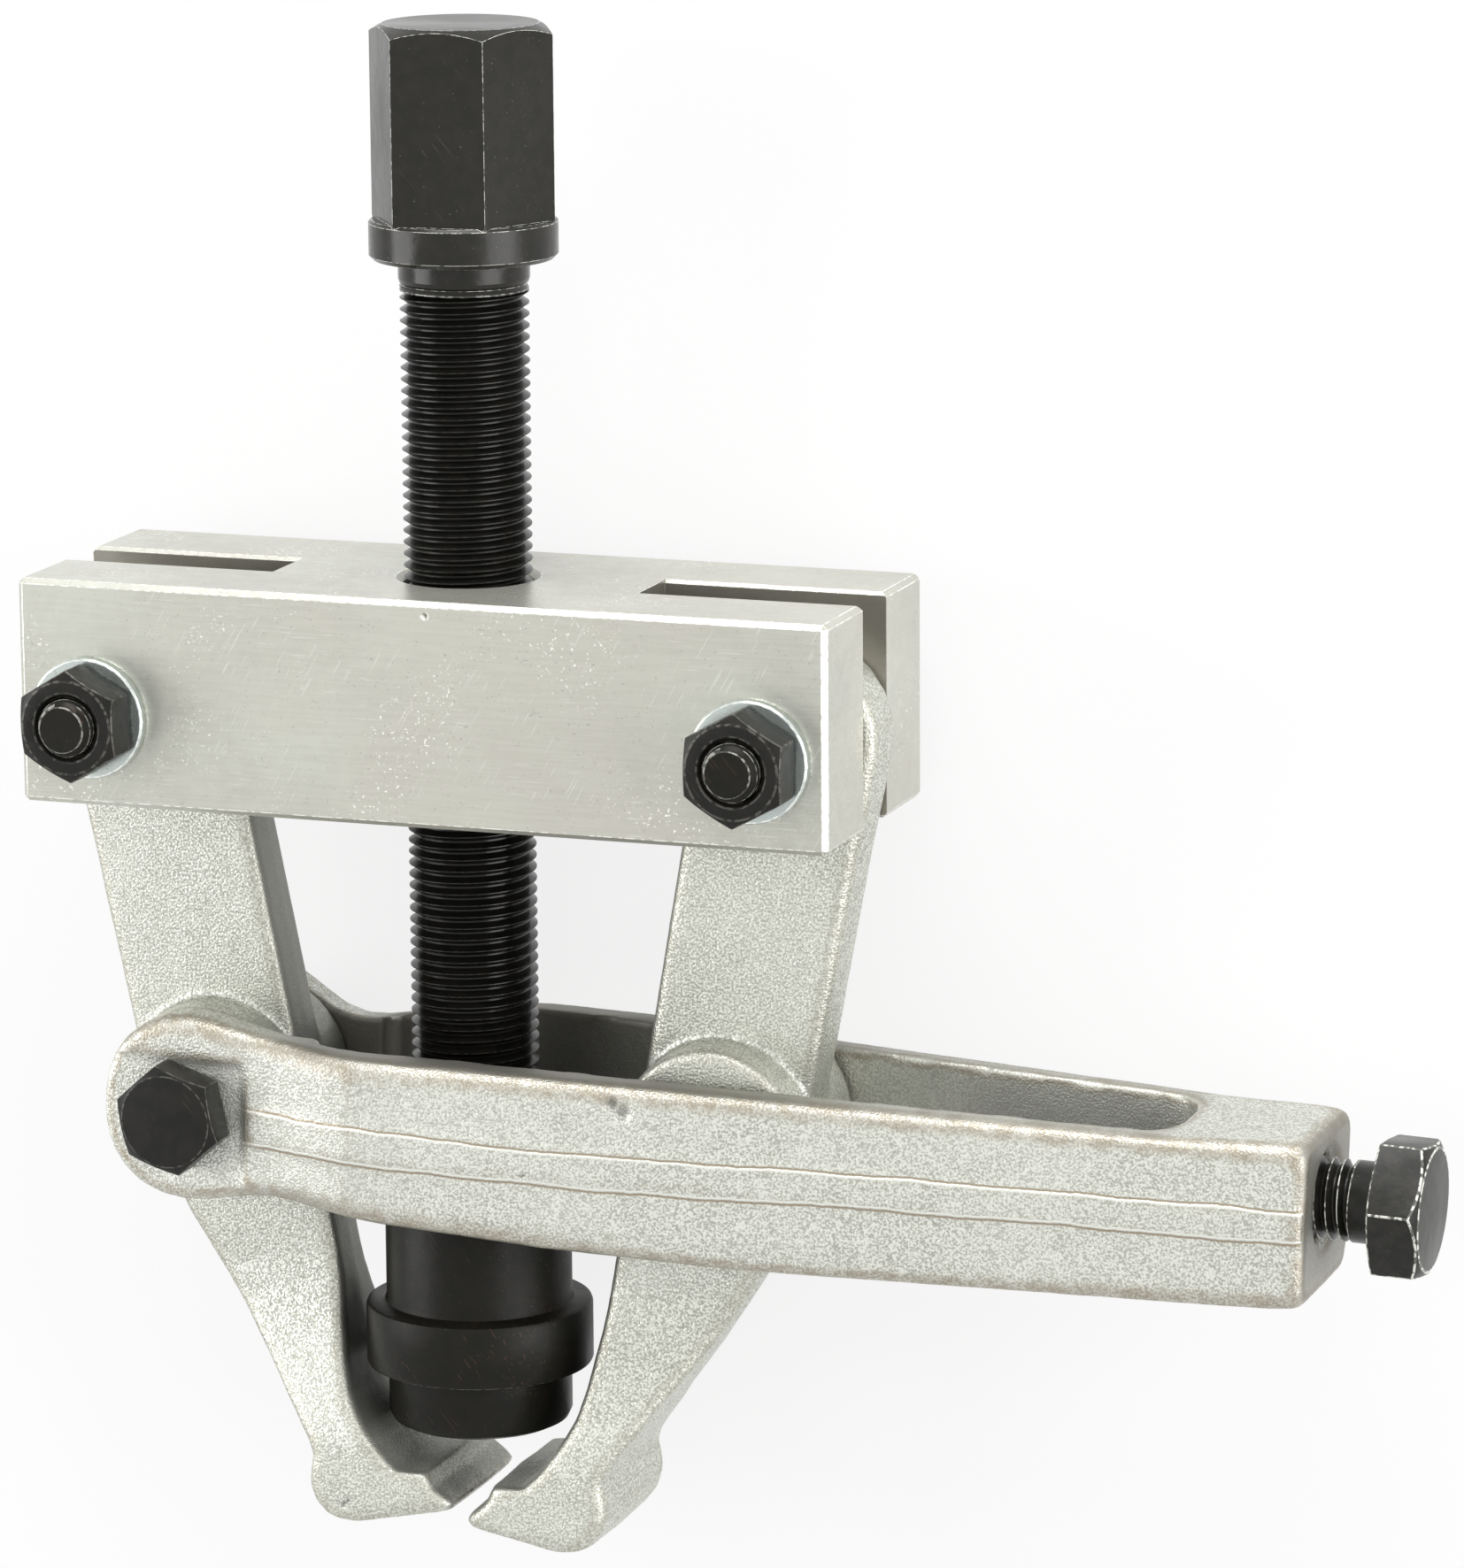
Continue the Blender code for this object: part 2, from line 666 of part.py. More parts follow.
BAND_STATIONS = (
    # along, band's upper edge, band's lower edge
    (-14.4, 2.4, -3.7),
    (30.0, 2.4, -3.7),
    (75.0, 1.7, -4.3),
    (150.0, 2.5, -3.9),
    (198.0, 3.4, -2.1),
)


def band_edges(x: float) -> Point:
    """Upper and lower edge of the parting band, this far along the stirrup."""
    for (a, high_a, low_a), (b, high_b, low_b) in zip(BAND_STATIONS, BAND_STATIONS[1:]):
        if x <= b:
            part = (x - a) / (b - a)
            return high_a + part * (high_b - high_a), low_a + part * (low_b - low_a)
    return BAND_STATIONS[-1][1], BAND_STATIONS[-1][2]


def stretched(x: float) -> float:
    """A place along the arms, moved as the stirrup's length moves its free end."""
    drawn_length = STIRRUP_STATIONS[-1][0]
    share = (x - EYE_END) / (drawn_length - BLOCK_LENGTH - EYE_END)
    return x + min(1.0, max(0.0, share)) * (STIRRUP_LENGTH - drawn_length)


def stirrup_section(
    x: float, top: float, bottom: float, drop: float, width: float, radius: float
) -> list[Point]:
    """A (height, width) section with a raised parting band on both outer sides."""
    radius = min(radius, 0.4 * min(top, -bottom))
    fit = min(1.0, top / 7.0)
    draft = 0.4 * fit
    step = 0.25 * fit
    lean = width - radius - draft
    high, low = band_edges(x)
    high = min(high, 0.7 * (top - radius))
    low = max(low, 0.7 * (bottom + radius))
    floor = bottom + radius
    sides = []
    for roof in (top - radius, top - drop - radius):
        side = corner((roof, lean), radius, 0.0)
        side += [(high + 0.3 * fit, width - step), (high, width)]
        side += [(low, width), (low - 0.3 * fit, width - step)]
        sides.append(side + corner((floor, lean), radius, 90.0))
    front, rear = sides
    return front + [(a, -b) for a, b in reversed(rear)]


def window_outline() -> list[Point]:
    """Half width over length of the space between the stirrup's two arms."""
    end = WINDOW_END
    inner = STIRRUP_INNER
    right = [
        (-22.0, inner),
        (22.0, inner),
        (23.2, inner + 1.4),
        (24.2, inner + 3.4),
        (26.6, inner + 4.7),
        (30.6, inner + 5.0),
        (36.6, inner + 4.8),
        (stretched(104.6), inner + 1.0),
        (end - 7.5, inner - 3.2),
        (end - 3.6, inner - 4.0),
        (end - 1.2, inner - 6.4),
        (end, inner - 11.0),
    ]
    return right + [(a, -b) for a, b in reversed(right)]


def make_stirrup(left_leg: bpy.types.Object) -> bpy.types.Object:
    """The forged stirrup that straddles both legs and carries the clamp screw."""
    rings = [
        [Vector((stretched(station[0]), a, b)) for a, b in stirrup_section(*station)]
        for station in STIRRUP_STATIONS
    ]
    stirrup = add_part("stirrup", loft_mesh("stirrup", rings), FORGED)
    stirrup.location = (BOSS_U * MM, -BOSS_V * MM, 0.0)
    stirrup.rotation_euler = (0.0, 0.0, STIRRUP_TILT - LEG_LEAN_LEFT)
    stirrup.parent = left_leg
    outline = [(b, a) for a, b in window_outline()]
    mesh = prism_mesh("stirrup_window", outline, "Y", -25.0, 25.0)
    apply_tool(stirrup, add_tool("stirrup_window", mesh, stirrup), "DIFFERENCE")
    low, high = (-20.0, -20.0), (SPOT_FACE_WALL, SPOT_FACE_LEDGE)
    for label, near, far in (("front", SPOT_FACE, 30.0), ("rear", -30.0, -SPOT_FACE)):
        mesh = box_mesh(label + "_spot_face", (*low, near), (*high, far))
        apply_tool(stirrup, add_tool(label + "_spot_face", mesh, stirrup), "DIFFERENCE")
    apply_tool(stirrup, drill("stirrup_pivot_bore", stirrup, BOLT_HOLE_R, 2.0 * SPOT_FACE), "DIFFERENCE")
    hole = turned_tool(
        "clamp_hole",
        [
            (0.0, STIRRUP_LENGTH + 1.8),
            (CLAMP_HOLE_R + 3.6, STIRRUP_LENGTH + 1.8),
            (CLAMP_HOLE_R, STIRRUP_LENGTH - 1.8),
            (CLAMP_HOLE_R, WINDOW_END - 14.0),
            (0.0, WINDOW_END - 14.0),
        ],
        stirrup,
    )
    hole.location = (0.0, CLAMP_AXIS_Y * MM, 0.0)
    hole.rotation_euler = (0.0, math.pi / 2.0, 0.0)
    apply_tool(stirrup, hole, "DIFFERENCE")
    return stirrup


def hex_bolt(
    name: str, across_flats: float, head: float, radius: float, length: float
) -> bpy.types.Object:
    """A hexagon bolt along Z, its head above the origin and its shank below."""
    outer, face, drop = hex_limits(across_flats)
    profile = [
        (0.0, head),
        (face, head),
        (outer, head - drop),
        (outer, 0.4),
        (face + 0.3, 0.0),
        (radius, 0.0),
        (radius, 1.2 - length),
        (radius - 1.2, -length),
        (0.0, -length),
    ]
    bolt = add_part(name, profile_mesh(name, profile, closed=False), BLACK)
    turn(bolt, SMALL_STEPS)
    mesh = hexagon_mesh(name + "_hexagon", across_flats, -length - 5.0, head + 5.0)
    apply_tool(bolt, add_tool(name + "_hexagon", mesh, bolt), "INTERSECT")
    return bolt


def hex_nut(name: str) -> bpy.types.Object:
    """A plain M10 nut along Z, its lower face on the origin."""
    outer, face, drop = hex_limits(M10_AF)
    sink = 0.8
    profile = [
        (NUT_BORE_R + sink, M10_NUT),
        (face, M10_NUT),
        (outer, M10_NUT - drop),
        (outer, drop),
        (face, 0.0),
        (NUT_BORE_R + sink, 0.0),
        (NUT_BORE_R, sink),
        (NUT_BORE_R, M10_NUT - sink),
    ]
    nut = add_part(name, profile_mesh(name, profile, closed=True), BLACK)
    turn(nut, SMALL_STEPS)
    mesh = hexagon_mesh(name + "_hexagon", M10_AF, -5.0, M10_NUT + 5.0)
    apply_tool(nut, add_tool(name + "_hexagon", mesh, nut), "INTERSECT")
    return nut


def plain_washer(name: str) -> bpy.types.Object:
    """A flat washer along Z, its lower face on the origin."""
    high = WASHER_THICKNESS
    profile = [
        (WASHER_BORE_R, high),
        (WASHER_R - 0.3, high),
        (WASHER_R, high - 0.3),
        (WASHER_R, 0.3),
        (WASHER_R - 0.3, 0.0),
        (WASHER_BORE_R, 0.0),
    ]
    washer = add_part(name, profile_mesh(name, profile, closed=True), ZINC)
    turn(washer, SMALL_STEPS)
    return washer


def seat(
    obj: bpy.types.Object,
    parent: bpy.types.Object,
    place: tuple[float, float, float],
    turned: float = 0.0,
    flipped: bool = False,
) -> None:
    """Put a turned fastener at a place of its parent's frame, along Z."""
    obj.parent = parent
    obj.location = Vector(place) * MM
    obj.rotation_euler = (math.pi if flipped else 0.0, 0.0, turned)


def make_beam_joint(beam: bpy.types.Object, label: str, side: float) -> None:
    """Bolt, nut and two washers that hinge one leg in the beam."""
    x, y = side * PIVOT_X, PIVOT_Y
    face = MID + SEAT_GAP
    outer = face + WASHER_THICKNESS + SEAT_GAP
    seat(plain_washer(label + "_front_washer"), beam, (x, y, face))
    seat(plain_washer(label + "_rear_washer"), beam, (x, y, -face), flipped=True)
    seat(hex_nut(label + "_beam_nut"), beam, (x, y, outer), math.radians(-1.5 * side))
    bolt = hex_bolt(label + "_beam_bolt", M10_AF, M10_HEAD, BOLT_R, M10_BEAM_LENGTH)
    seat(bolt, beam, (x, y, -outer), math.radians(9.0 + 14.0 * side), flipped=True)


def make_stirrup_joint(stirrup: bpy.types.Object) -> None:
    """Bolt and nut that hinge the stirrup on the left leg's bosses."""
    outer = SPOT_FACE + SEAT_GAP
    bolt = hex_bolt(
        "stirrup_pivot_bolt", M10_AF, M10_HEAD, BOLT_R, M10_STIRRUP_LENGTH
    )
    seat(bolt, stirrup, (0.0, 0.0, outer), math.radians(13.5))
    nut = hex_nut("stirrup_pivot_nut")
    seat(nut, stirrup, (0.0, 0.0, -outer), math.radians(17.0), flipped=True)


def make_clamp_screw(stirrup: bpy.types.Object) -> None:
    """The screw that pushes the right leg's boss to close the claws."""
    screw = hex_bolt("clamp_screw", CLAMP_AF, CLAMP_HEAD, CLAMP_R, CLAMP_LENGTH)
    screw.parent = stirrup
    screw.location = (CLAMP_HEAD_X * MM, CLAMP_AXIS_Y * MM, 0.0)
    lay = Matrix.Rotation(math.pi / 2.0, 4, "Y")
    spin = Matrix.Rotation(CLAMP_HEX_TURN, 4, "Z")
    screw.rotation_euler = (lay @ spin).to_euler()


def main() -> None:
    """Build the whole puller at rest."""
    beam = make_beam()
    make_spindle(beam)
    make_thrust_piece(beam)
    left_leg = make_leg("left_leg", 1.0, LEG_LEAN_LEFT)
    right_leg = make_leg(
        "right_leg", -1.0, LEG_LEAN_RIGHT, LEG_HEEL_TRIM_RIGHT, LEG_SOLE_EXTRA_RIGHT
    )
    for leg in (left_leg, right_leg):
        leg.parent = beam
    make_beam_joint(beam, "left", -1.0)
    make_beam_joint(beam, "right", 1.0)
    stirrup = make_stirrup(left_leg)
    make_stirrup_joint(stirrup)
    make_clamp_screw(stirrup)
    bpy.context.view_layer.update()


main()
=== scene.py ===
"""Looks of a bearing ring puller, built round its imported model.

Every piece is made in the row's frame, in metres: +X runs along the cross beam, +Y up
the spindle and +Z out of the front face. Sizes are named in millimetres, and heights on
the spindle are counted from the middle of the beam, as a maker's drawing gives them.
"""

import logging
import math
from collections.abc import Callable
from dataclasses import dataclass
from enum import Enum

import bmesh
import bpy
import numpy as np
from mathutils import Matrix, Vector, noise


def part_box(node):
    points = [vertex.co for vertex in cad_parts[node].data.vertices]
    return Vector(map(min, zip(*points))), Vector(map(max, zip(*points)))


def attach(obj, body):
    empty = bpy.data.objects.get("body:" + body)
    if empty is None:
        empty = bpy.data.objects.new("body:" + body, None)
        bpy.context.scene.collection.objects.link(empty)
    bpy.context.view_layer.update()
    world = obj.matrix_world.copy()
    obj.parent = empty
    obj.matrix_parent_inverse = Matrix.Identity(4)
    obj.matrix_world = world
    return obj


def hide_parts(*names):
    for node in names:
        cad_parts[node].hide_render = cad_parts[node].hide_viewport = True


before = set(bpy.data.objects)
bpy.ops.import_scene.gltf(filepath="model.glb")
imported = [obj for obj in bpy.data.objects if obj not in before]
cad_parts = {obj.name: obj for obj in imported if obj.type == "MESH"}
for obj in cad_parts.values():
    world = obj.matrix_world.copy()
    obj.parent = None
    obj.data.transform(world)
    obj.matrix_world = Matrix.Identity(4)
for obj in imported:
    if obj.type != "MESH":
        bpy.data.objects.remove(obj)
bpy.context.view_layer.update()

LOG = logging.getLogger("bearing_ring_puller")
MM = 0.001

# Places in millimetres: the bolts' x and y in the row's frame, the stirrup's pivot in it,
# and the clamp screw's seat along and above the stirrup's axis.
BEAM_MIDDLE_Y = -113.9
BEAM_BOLT = (59.8, BEAM_MIDDLE_Y - 3.9)
STIRRUP_PIVOT = (-45.960185, -187.239971)
STIRRUP_TILT = math.radians(-1.9)
CLAMP_HEAD_SEAT = (207.5, 2.4)
SPINDLE_ZERO = Vector((0.0, BEAM_MIDDLE_Y * MM, 0.0))

# How near points are merged, how short an edge may be and how near a cut's plane counts
# as on it, in metres, and how far a flat face's parts may be turned from each other.
MESH_WELD = 0.004 * MM
PROFILE_WELD = 0.002 * MM
SLIVER = 0.02 * MM
ON_PLANE = 1e-7
FLAT_WITHIN = math.radians(1.5)

# How far a turned facet's middle may lie outside its segment's heights, and inside its
# radius, in millimetres.
BAND_SLACK = 0.01
FACET_SAG = 0.3

FLOAT = "NodeSocketFloat"
VECTOR = "NodeSocketVector"
Socket = bpy.types.NodeSocket
Colour = tuple[float, float, float]
Marks = dict[str, np.ndarray]


class Slot(Enum):
    """The record's slots that the pieces made here belong to."""

    ZINC = "zinc_plated_steel"
    FORGING = "galvanised_forging"
    BLACK = "black_oxide_steel"


class Axis(Enum):
    """The direction in which a turned piece is laid."""

    SPINDLE = "up the spindle"
    BOLT = "out of the front face"


class Graph:
    """A node tree with short calls for the nodes that these finishes use."""

    def __init__(self, tree: bpy.types.NodeTree) -> None:
        """Keep the tree that the calls add to."""
        self.tree = tree

    def add(self, kind: str, **values: object) -> bpy.types.Node:
        """Add a node and set its properties and sockets.

        Args:
            kind: The node's type name.
            **values: Properties by name, or input sockets by name with _ for spaces.

        Returns:
            The new node.
        """
        node = self.tree.nodes.new(kind)
        for key, value in values.items():
            if key in node.bl_rna.properties and not node.bl_rna.properties[key].is_readonly:
                setattr(node, key, value)
            else:
                self.feed(node.inputs[key.replace("_", " ")], value)
        return node

    def feed(self, socket: Socket, value: object) -> None:
        """Link a socket into an input, or set the input's own value.

        Args:
            socket: The input.
            value: A socket, a number, a vector or a colour.
        """
        if isinstance(value, bpy.types.NodeSocket):
            self.tree.links.new(value, socket)
        elif isinstance(value, tuple) and socket.type == "RGBA":
            socket.default_value = (*value[:3], 1.0)
        else:
            socket.default_value = value

    def attribute(self, name: str) -> Socket:
        """The value that the maker wrote on the mesh under a name."""
        return self.add("ShaderNodeAttribute", attribute_name=name).outputs["Fac"]

    def maths(self, operation: str, first: object, *others: object) -> Socket:
        """Join values with Math nodes of one operation, from the first on.

        Args:
            operation: The nodes' operation.
            first: A socket or a number.
            *others: The values that follow, or none.

        Returns:
            The last node's result.
        """
        result = first
        for value in others or (0.0,):
            node = self.tree.nodes.new("ShaderNodeMath")
            node.operation = operation
            self.feed(node.inputs[0], result)
            self.feed(node.inputs[1], value)
            result = node.outputs[0]
        return result

    def times(self, *values: object) -> Socket:
        """The product of the values."""
        return self.maths("MULTIPLY", *values)

    def plus(self, *values: object) -> Socket:
        """The sum of the values."""
        return self.maths("ADD", *values)

    def minus(self, first: object, second: object) -> Socket:
        """The first value less the second."""
        return self.maths("SUBTRACT", first, second)

    def highest(self, *values: object) -> Socket:
        """The highest of the values."""
        return self.maths("MAXIMUM", *values)

    def ramp(self, value: Socket, low: float, high: float) -> Socket:
        """A smooth step of a value.

        Args:
            value: The value.
            low: Where the step is still 0.
            high: Where it has reached 1, which may lie below low.

        Returns:
            The step, from 0 to 1.
        """
        node = self.add("ShaderNodeMapRange", interpolation_type="SMOOTHSTEP", Value=value)
        node.inputs["From Min"].default_value = low
        node.inputs["From Max"].default_value = high
        return node.outputs["Result"]

    def span(self, value: Socket, low: float, high: float) -> Socket:
        """Spread a value's 0 to 1 range.

        Args:
            value: The value.
            low: What 0 becomes.
            high: What 1 becomes.

        Returns:
            The spread value.
        """
        node = self.add("ShaderNodeMapRange", Value=value)
        node.inputs["To Min"].default_value = low
        node.inputs["To Max"].default_value = high
        return node.outputs["Result"]

    def blend(self, share: object, first: object, second: object) -> Socket:
        """A mix of two colours.

        Args:
            share: How much of the second colour there is.
            first: The colour at a share of 0.
            second: The colour at a share of 1.

        Returns:
            The mixed colour.
        """
        node = self.tree.nodes.new("ShaderNodeMix")
        node.data_type = "RGBA"
        self.feed(node.inputs[0], share)
        self.feed(node.inputs[6], first)
        self.feed(node.inputs[7], second)
        return node.outputs[2]

    def noise(self, place: Socket, size_mm: float, detail: float = 2.0) -> Socket:
        """Noise whose features have a given size.

        Args:
            place: Where it is read.
            size_mm: The size of its features in millimetres.
            detail: How many finer layers it has.

        Returns:
            The noise, from 0 to 1.
        """
        scale = 1.0 / (2.0 * size_mm * MM)
        node = self.add("ShaderNodeTexNoise", Vector=place, Scale=scale, Detail=detail)
        return node.outputs["Fac"]

    def line(self, distance: Socket, centre: float, width: float) -> Socket:
        """A soft line: 1 where the distance is at the centre, 0 a width away."""
        away = self.maths("ABSOLUTE", self.minus(distance, centre))
        return self.ramp(away, low=width, high=0.25 * width)

    def course(self, value: Socket, points: tuple[tuple[float, float], ...]) -> Socket:
        """A broken line through points of value and height, both in millimetres.

        Args:
            value: The distance along the line.
            points: Where the line bends, in order.

        Returns:
            The line's height.
        """
        start, end = points[0][0], points[-1][0]
        low = min(height for _, height in points)
        high = max(height for _, height in points)
        ramp = self.tree.nodes.new("ShaderNodeValToRGB")
        share = self.maths("DIVIDE", self.minus(value, start), end - start)
        self.feed(ramp.inputs["Fac"], share)
        stops = ramp.color_ramp.elements
        while len(stops) < len(points):
            stops.new(0.5)
        for stop, (along, height) in zip(stops, points):
            level = (height - low) / (high - low)
            stop.position = (along - start) / (end - start)
            stop.color = (level, level, level, 1.0)
        return self.span(ramp.outputs["Color"], low, high)

    def place(self, turn: float = 0.0, stretch: tuple[float, float, float] | None = None) -> Socket:
        """Object coordinates, turned about Z and then stretched.

        Args:
            turn: The turn in radians.
            stretch: The factor along each axis, or None for none.

        Returns:
            The coordinates.
        """
        source = self.tree.nodes.new("ShaderNodeTexCoord")
        if not turn and stretch is None:
            return source.outputs["Object"]
        node = self.add("ShaderNodeMapping", Vector=source.outputs["Object"])
        node.inputs["Rotation"].default_value = (0.0, 0.0, turn)
        node.inputs["Scale"].default_value = stretch or (1.0, 1.0, 1.0)
        return node.outputs["Vector"]


def new_group(
    name: str, inputs: dict[str, tuple[str, float]], outputs: dict[str, str]
) -> tuple[Graph, bpy.types.Node, bpy.types.Node]:
    """Start a shader node group.

    Args:
        name: The group's name.
        inputs: Kind of socket and default value by input name.
        outputs: Kind of socket by output name.

    Returns:
        The group's graph, its input node and its output node.
    """
    tree = bpy.data.node_groups.new(name, "ShaderNodeTree")
    for label, (kind, value) in inputs.items():
        socket = tree.interface.new_socket(label, in_out="INPUT", socket_type=kind)
        if kind == FLOAT:
            socket.default_value = value
    for label, kind in outputs.items():
        tree.interface.new_socket(label, in_out="OUTPUT", socket_type=kind)
    source = tree.nodes.new("NodeGroupInput")
    target = tree.nodes.new("NodeGroupOutput")
    return Graph(tree), source, target


class Effects:
    """The effects that several finishes share, each built once as a node group."""

    def __init__(self) -> None:
        """Build every group."""
        self.wear = self.build_wear()
        self.grain = self.build_grain()
        self.scratches = self.build_scratches()
        self.clouds = self.build_clouds()

    def build_wear(self) -> bpy.types.NodeTree:
        """Bright metal where an edge has rubbed, broken up by noise.

        Returns:
            The group.
        """
        inputs = {"Place": (VECTOR, 0.0), "Edge": (FLOAT, 0.0), "Amount": (FLOAT, 0.5)}
        graph, source, target = new_group("edge_wear", inputs, {"Mask": FLOAT})
        place = source.outputs["Place"]
        rough = graph.noise(place, size_mm=1.1, detail=3.0)
        broad = graph.noise(place, size_mm=7.0, detail=1.0)
        mixed = graph.plus(graph.times(rough, 0.55), broad)
        reach = graph.times(graph.minus(1.25, source.outputs["Amount"]), 0.78)
        kept = graph.ramp(graph.minus(mixed, reach), low=-0.12, high=0.1)
        small = graph.ramp(graph.noise(place, size_mm=0.55, detail=1.0), low=0.42, high=0.56)
        chips = graph.span(small, low=0.15, high=1.0)
        graph.feed(target.inputs["Mask"], graph.times(kept, chips, source.outputs["Edge"]))
        return graph.tree

    def build_grain(self) -> bpy.types.NodeTree:
        """The blasted, galvanised skin of a forging: bright grains and dark pits.

        Returns:
            The group.
        """
        inputs = {"Place": (VECTOR, 0.0), "Smoothness": (FLOAT, 0.0)}
        outputs = {"Bright": FLOAT, "Dark": FLOAT, "Height": FLOAT}
        graph, source, target = new_group("blasted_grain", inputs, outputs)
        place = source.outputs["Place"]
        fine = graph.noise(place, size_mm=0.21, detail=1.0)
        coarse = graph.noise(place, size_mm=1.1, detail=1.0)
        mixed = graph.plus(graph.times(fine, 0.9), graph.times(coarse, 0.1))
        rough = graph.minus(1.0, source.outputs["Smoothness"])
        bright = graph.ramp(mixed, low=0.495, high=0.585)
        dark = graph.ramp(mixed, low=0.50, high=0.38)
        for name, value in (("Bright", bright), ("Dark", dark), ("Height", mixed)):
            graph.feed(target.inputs[name], graph.times(value, rough))
        return graph.tree

    def build_scratches(self) -> bpy.types.NodeTree:
        """Sparse hairline scratches along the place's own X.

        Returns:
            The group.
        """
        inputs = {"Place": (VECTOR, 0.0), "Amount": (FLOAT, 0.3)}
        graph, source, target = new_group("hairline_scratches", inputs, {"Mask": FLOAT})
        place = source.outputs["Place"]
        long = graph.add("ShaderNodeMapping", Vector=place, Scale=(0.06, 1.0, 1.0))
        lines = graph.noise(long.outputs["Vector"], size_mm=0.18, detail=0.0)
        patches = graph.noise(place, size_mm=5.0, detail=1.0)
        thin = graph.ramp(lines, low=0.70, high=0.78)
        spots = graph.times(graph.ramp(patches, low=0.45, high=0.62), source.outputs["Amount"])
        graph.feed(target.inputs["Mask"], graph.times(thin, spots))
        return graph.tree

    def build_clouds(self) -> bpy.types.NodeTree:
        """Broad, faint variation of tone and gloss.

        Returns:
            The group.
        """
        inputs = {"Place": (VECTOR, 0.0)}
        outputs = {"Broad": FLOAT, "Fine": FLOAT}
        graph, source, target = new_group("clouded_tone", inputs, outputs)
        for name, size_mm, detail in (("Broad", 14.0, 3.0), ("Fine", 1.4, 4.0)):
            cloud = graph.noise(source.outputs["Place"], size_mm, detail)
            graph.feed(target.inputs[name], graph.ramp(cloud, low=0.36, high=0.64))
        return graph.tree


def start_material(
    name: str, metallic: float, roughness: float
) -> tuple[bpy.types.Material, Graph, bpy.types.Node]:
    """A material with one Principled BSDF.

    Args:
        name: The material's name.
        metallic: The shader's constant metallic value.
        roughness: The shader's roughness where nothing is linked.

    Returns:
        The material, its graph and its shader node.
    """
    material = bpy.data.materials.new(name)
    material.use_nodes = True
    shader = material.node_tree.nodes["Principled BSDF"]
    shader.inputs["Metallic"].default_value = metallic
    shader.inputs["Roughness"].default_value = roughness
    return material, Graph(material.node_tree), shader


def put_group(graph: Graph, tree: bpy.types.NodeTree, **values: object) -> bpy.types.Node:
    """Place a node group and set its inputs.

    Args:
        graph: The material's graph.
        tree: The group.
        **values: The inputs by name.

    Returns:
        The group's node.
    """
    node = graph.tree.nodes.new("ShaderNodeGroup")
    node.node_tree = tree
    for key, value in values.items():
        graph.feed(node.inputs[key], value)
    return node


def put_bump(graph: Graph, shader: bpy.types.Node, height: Socket, depth_mm: float) -> None:
    """Feed a height into the shader's normal.

    Args:
        graph: The material's graph.
        shader: The material's shader node.
        height: The height, from 0 to 1.
        depth_mm: What a height of 1 stands for, in millimetres.
    """
    bump = graph.add("ShaderNodeBump", Distance=depth_mm * MM, Strength=1.0, Height=height)
    graph.feed(shader.inputs["Normal"], bump.outputs["Normal"])


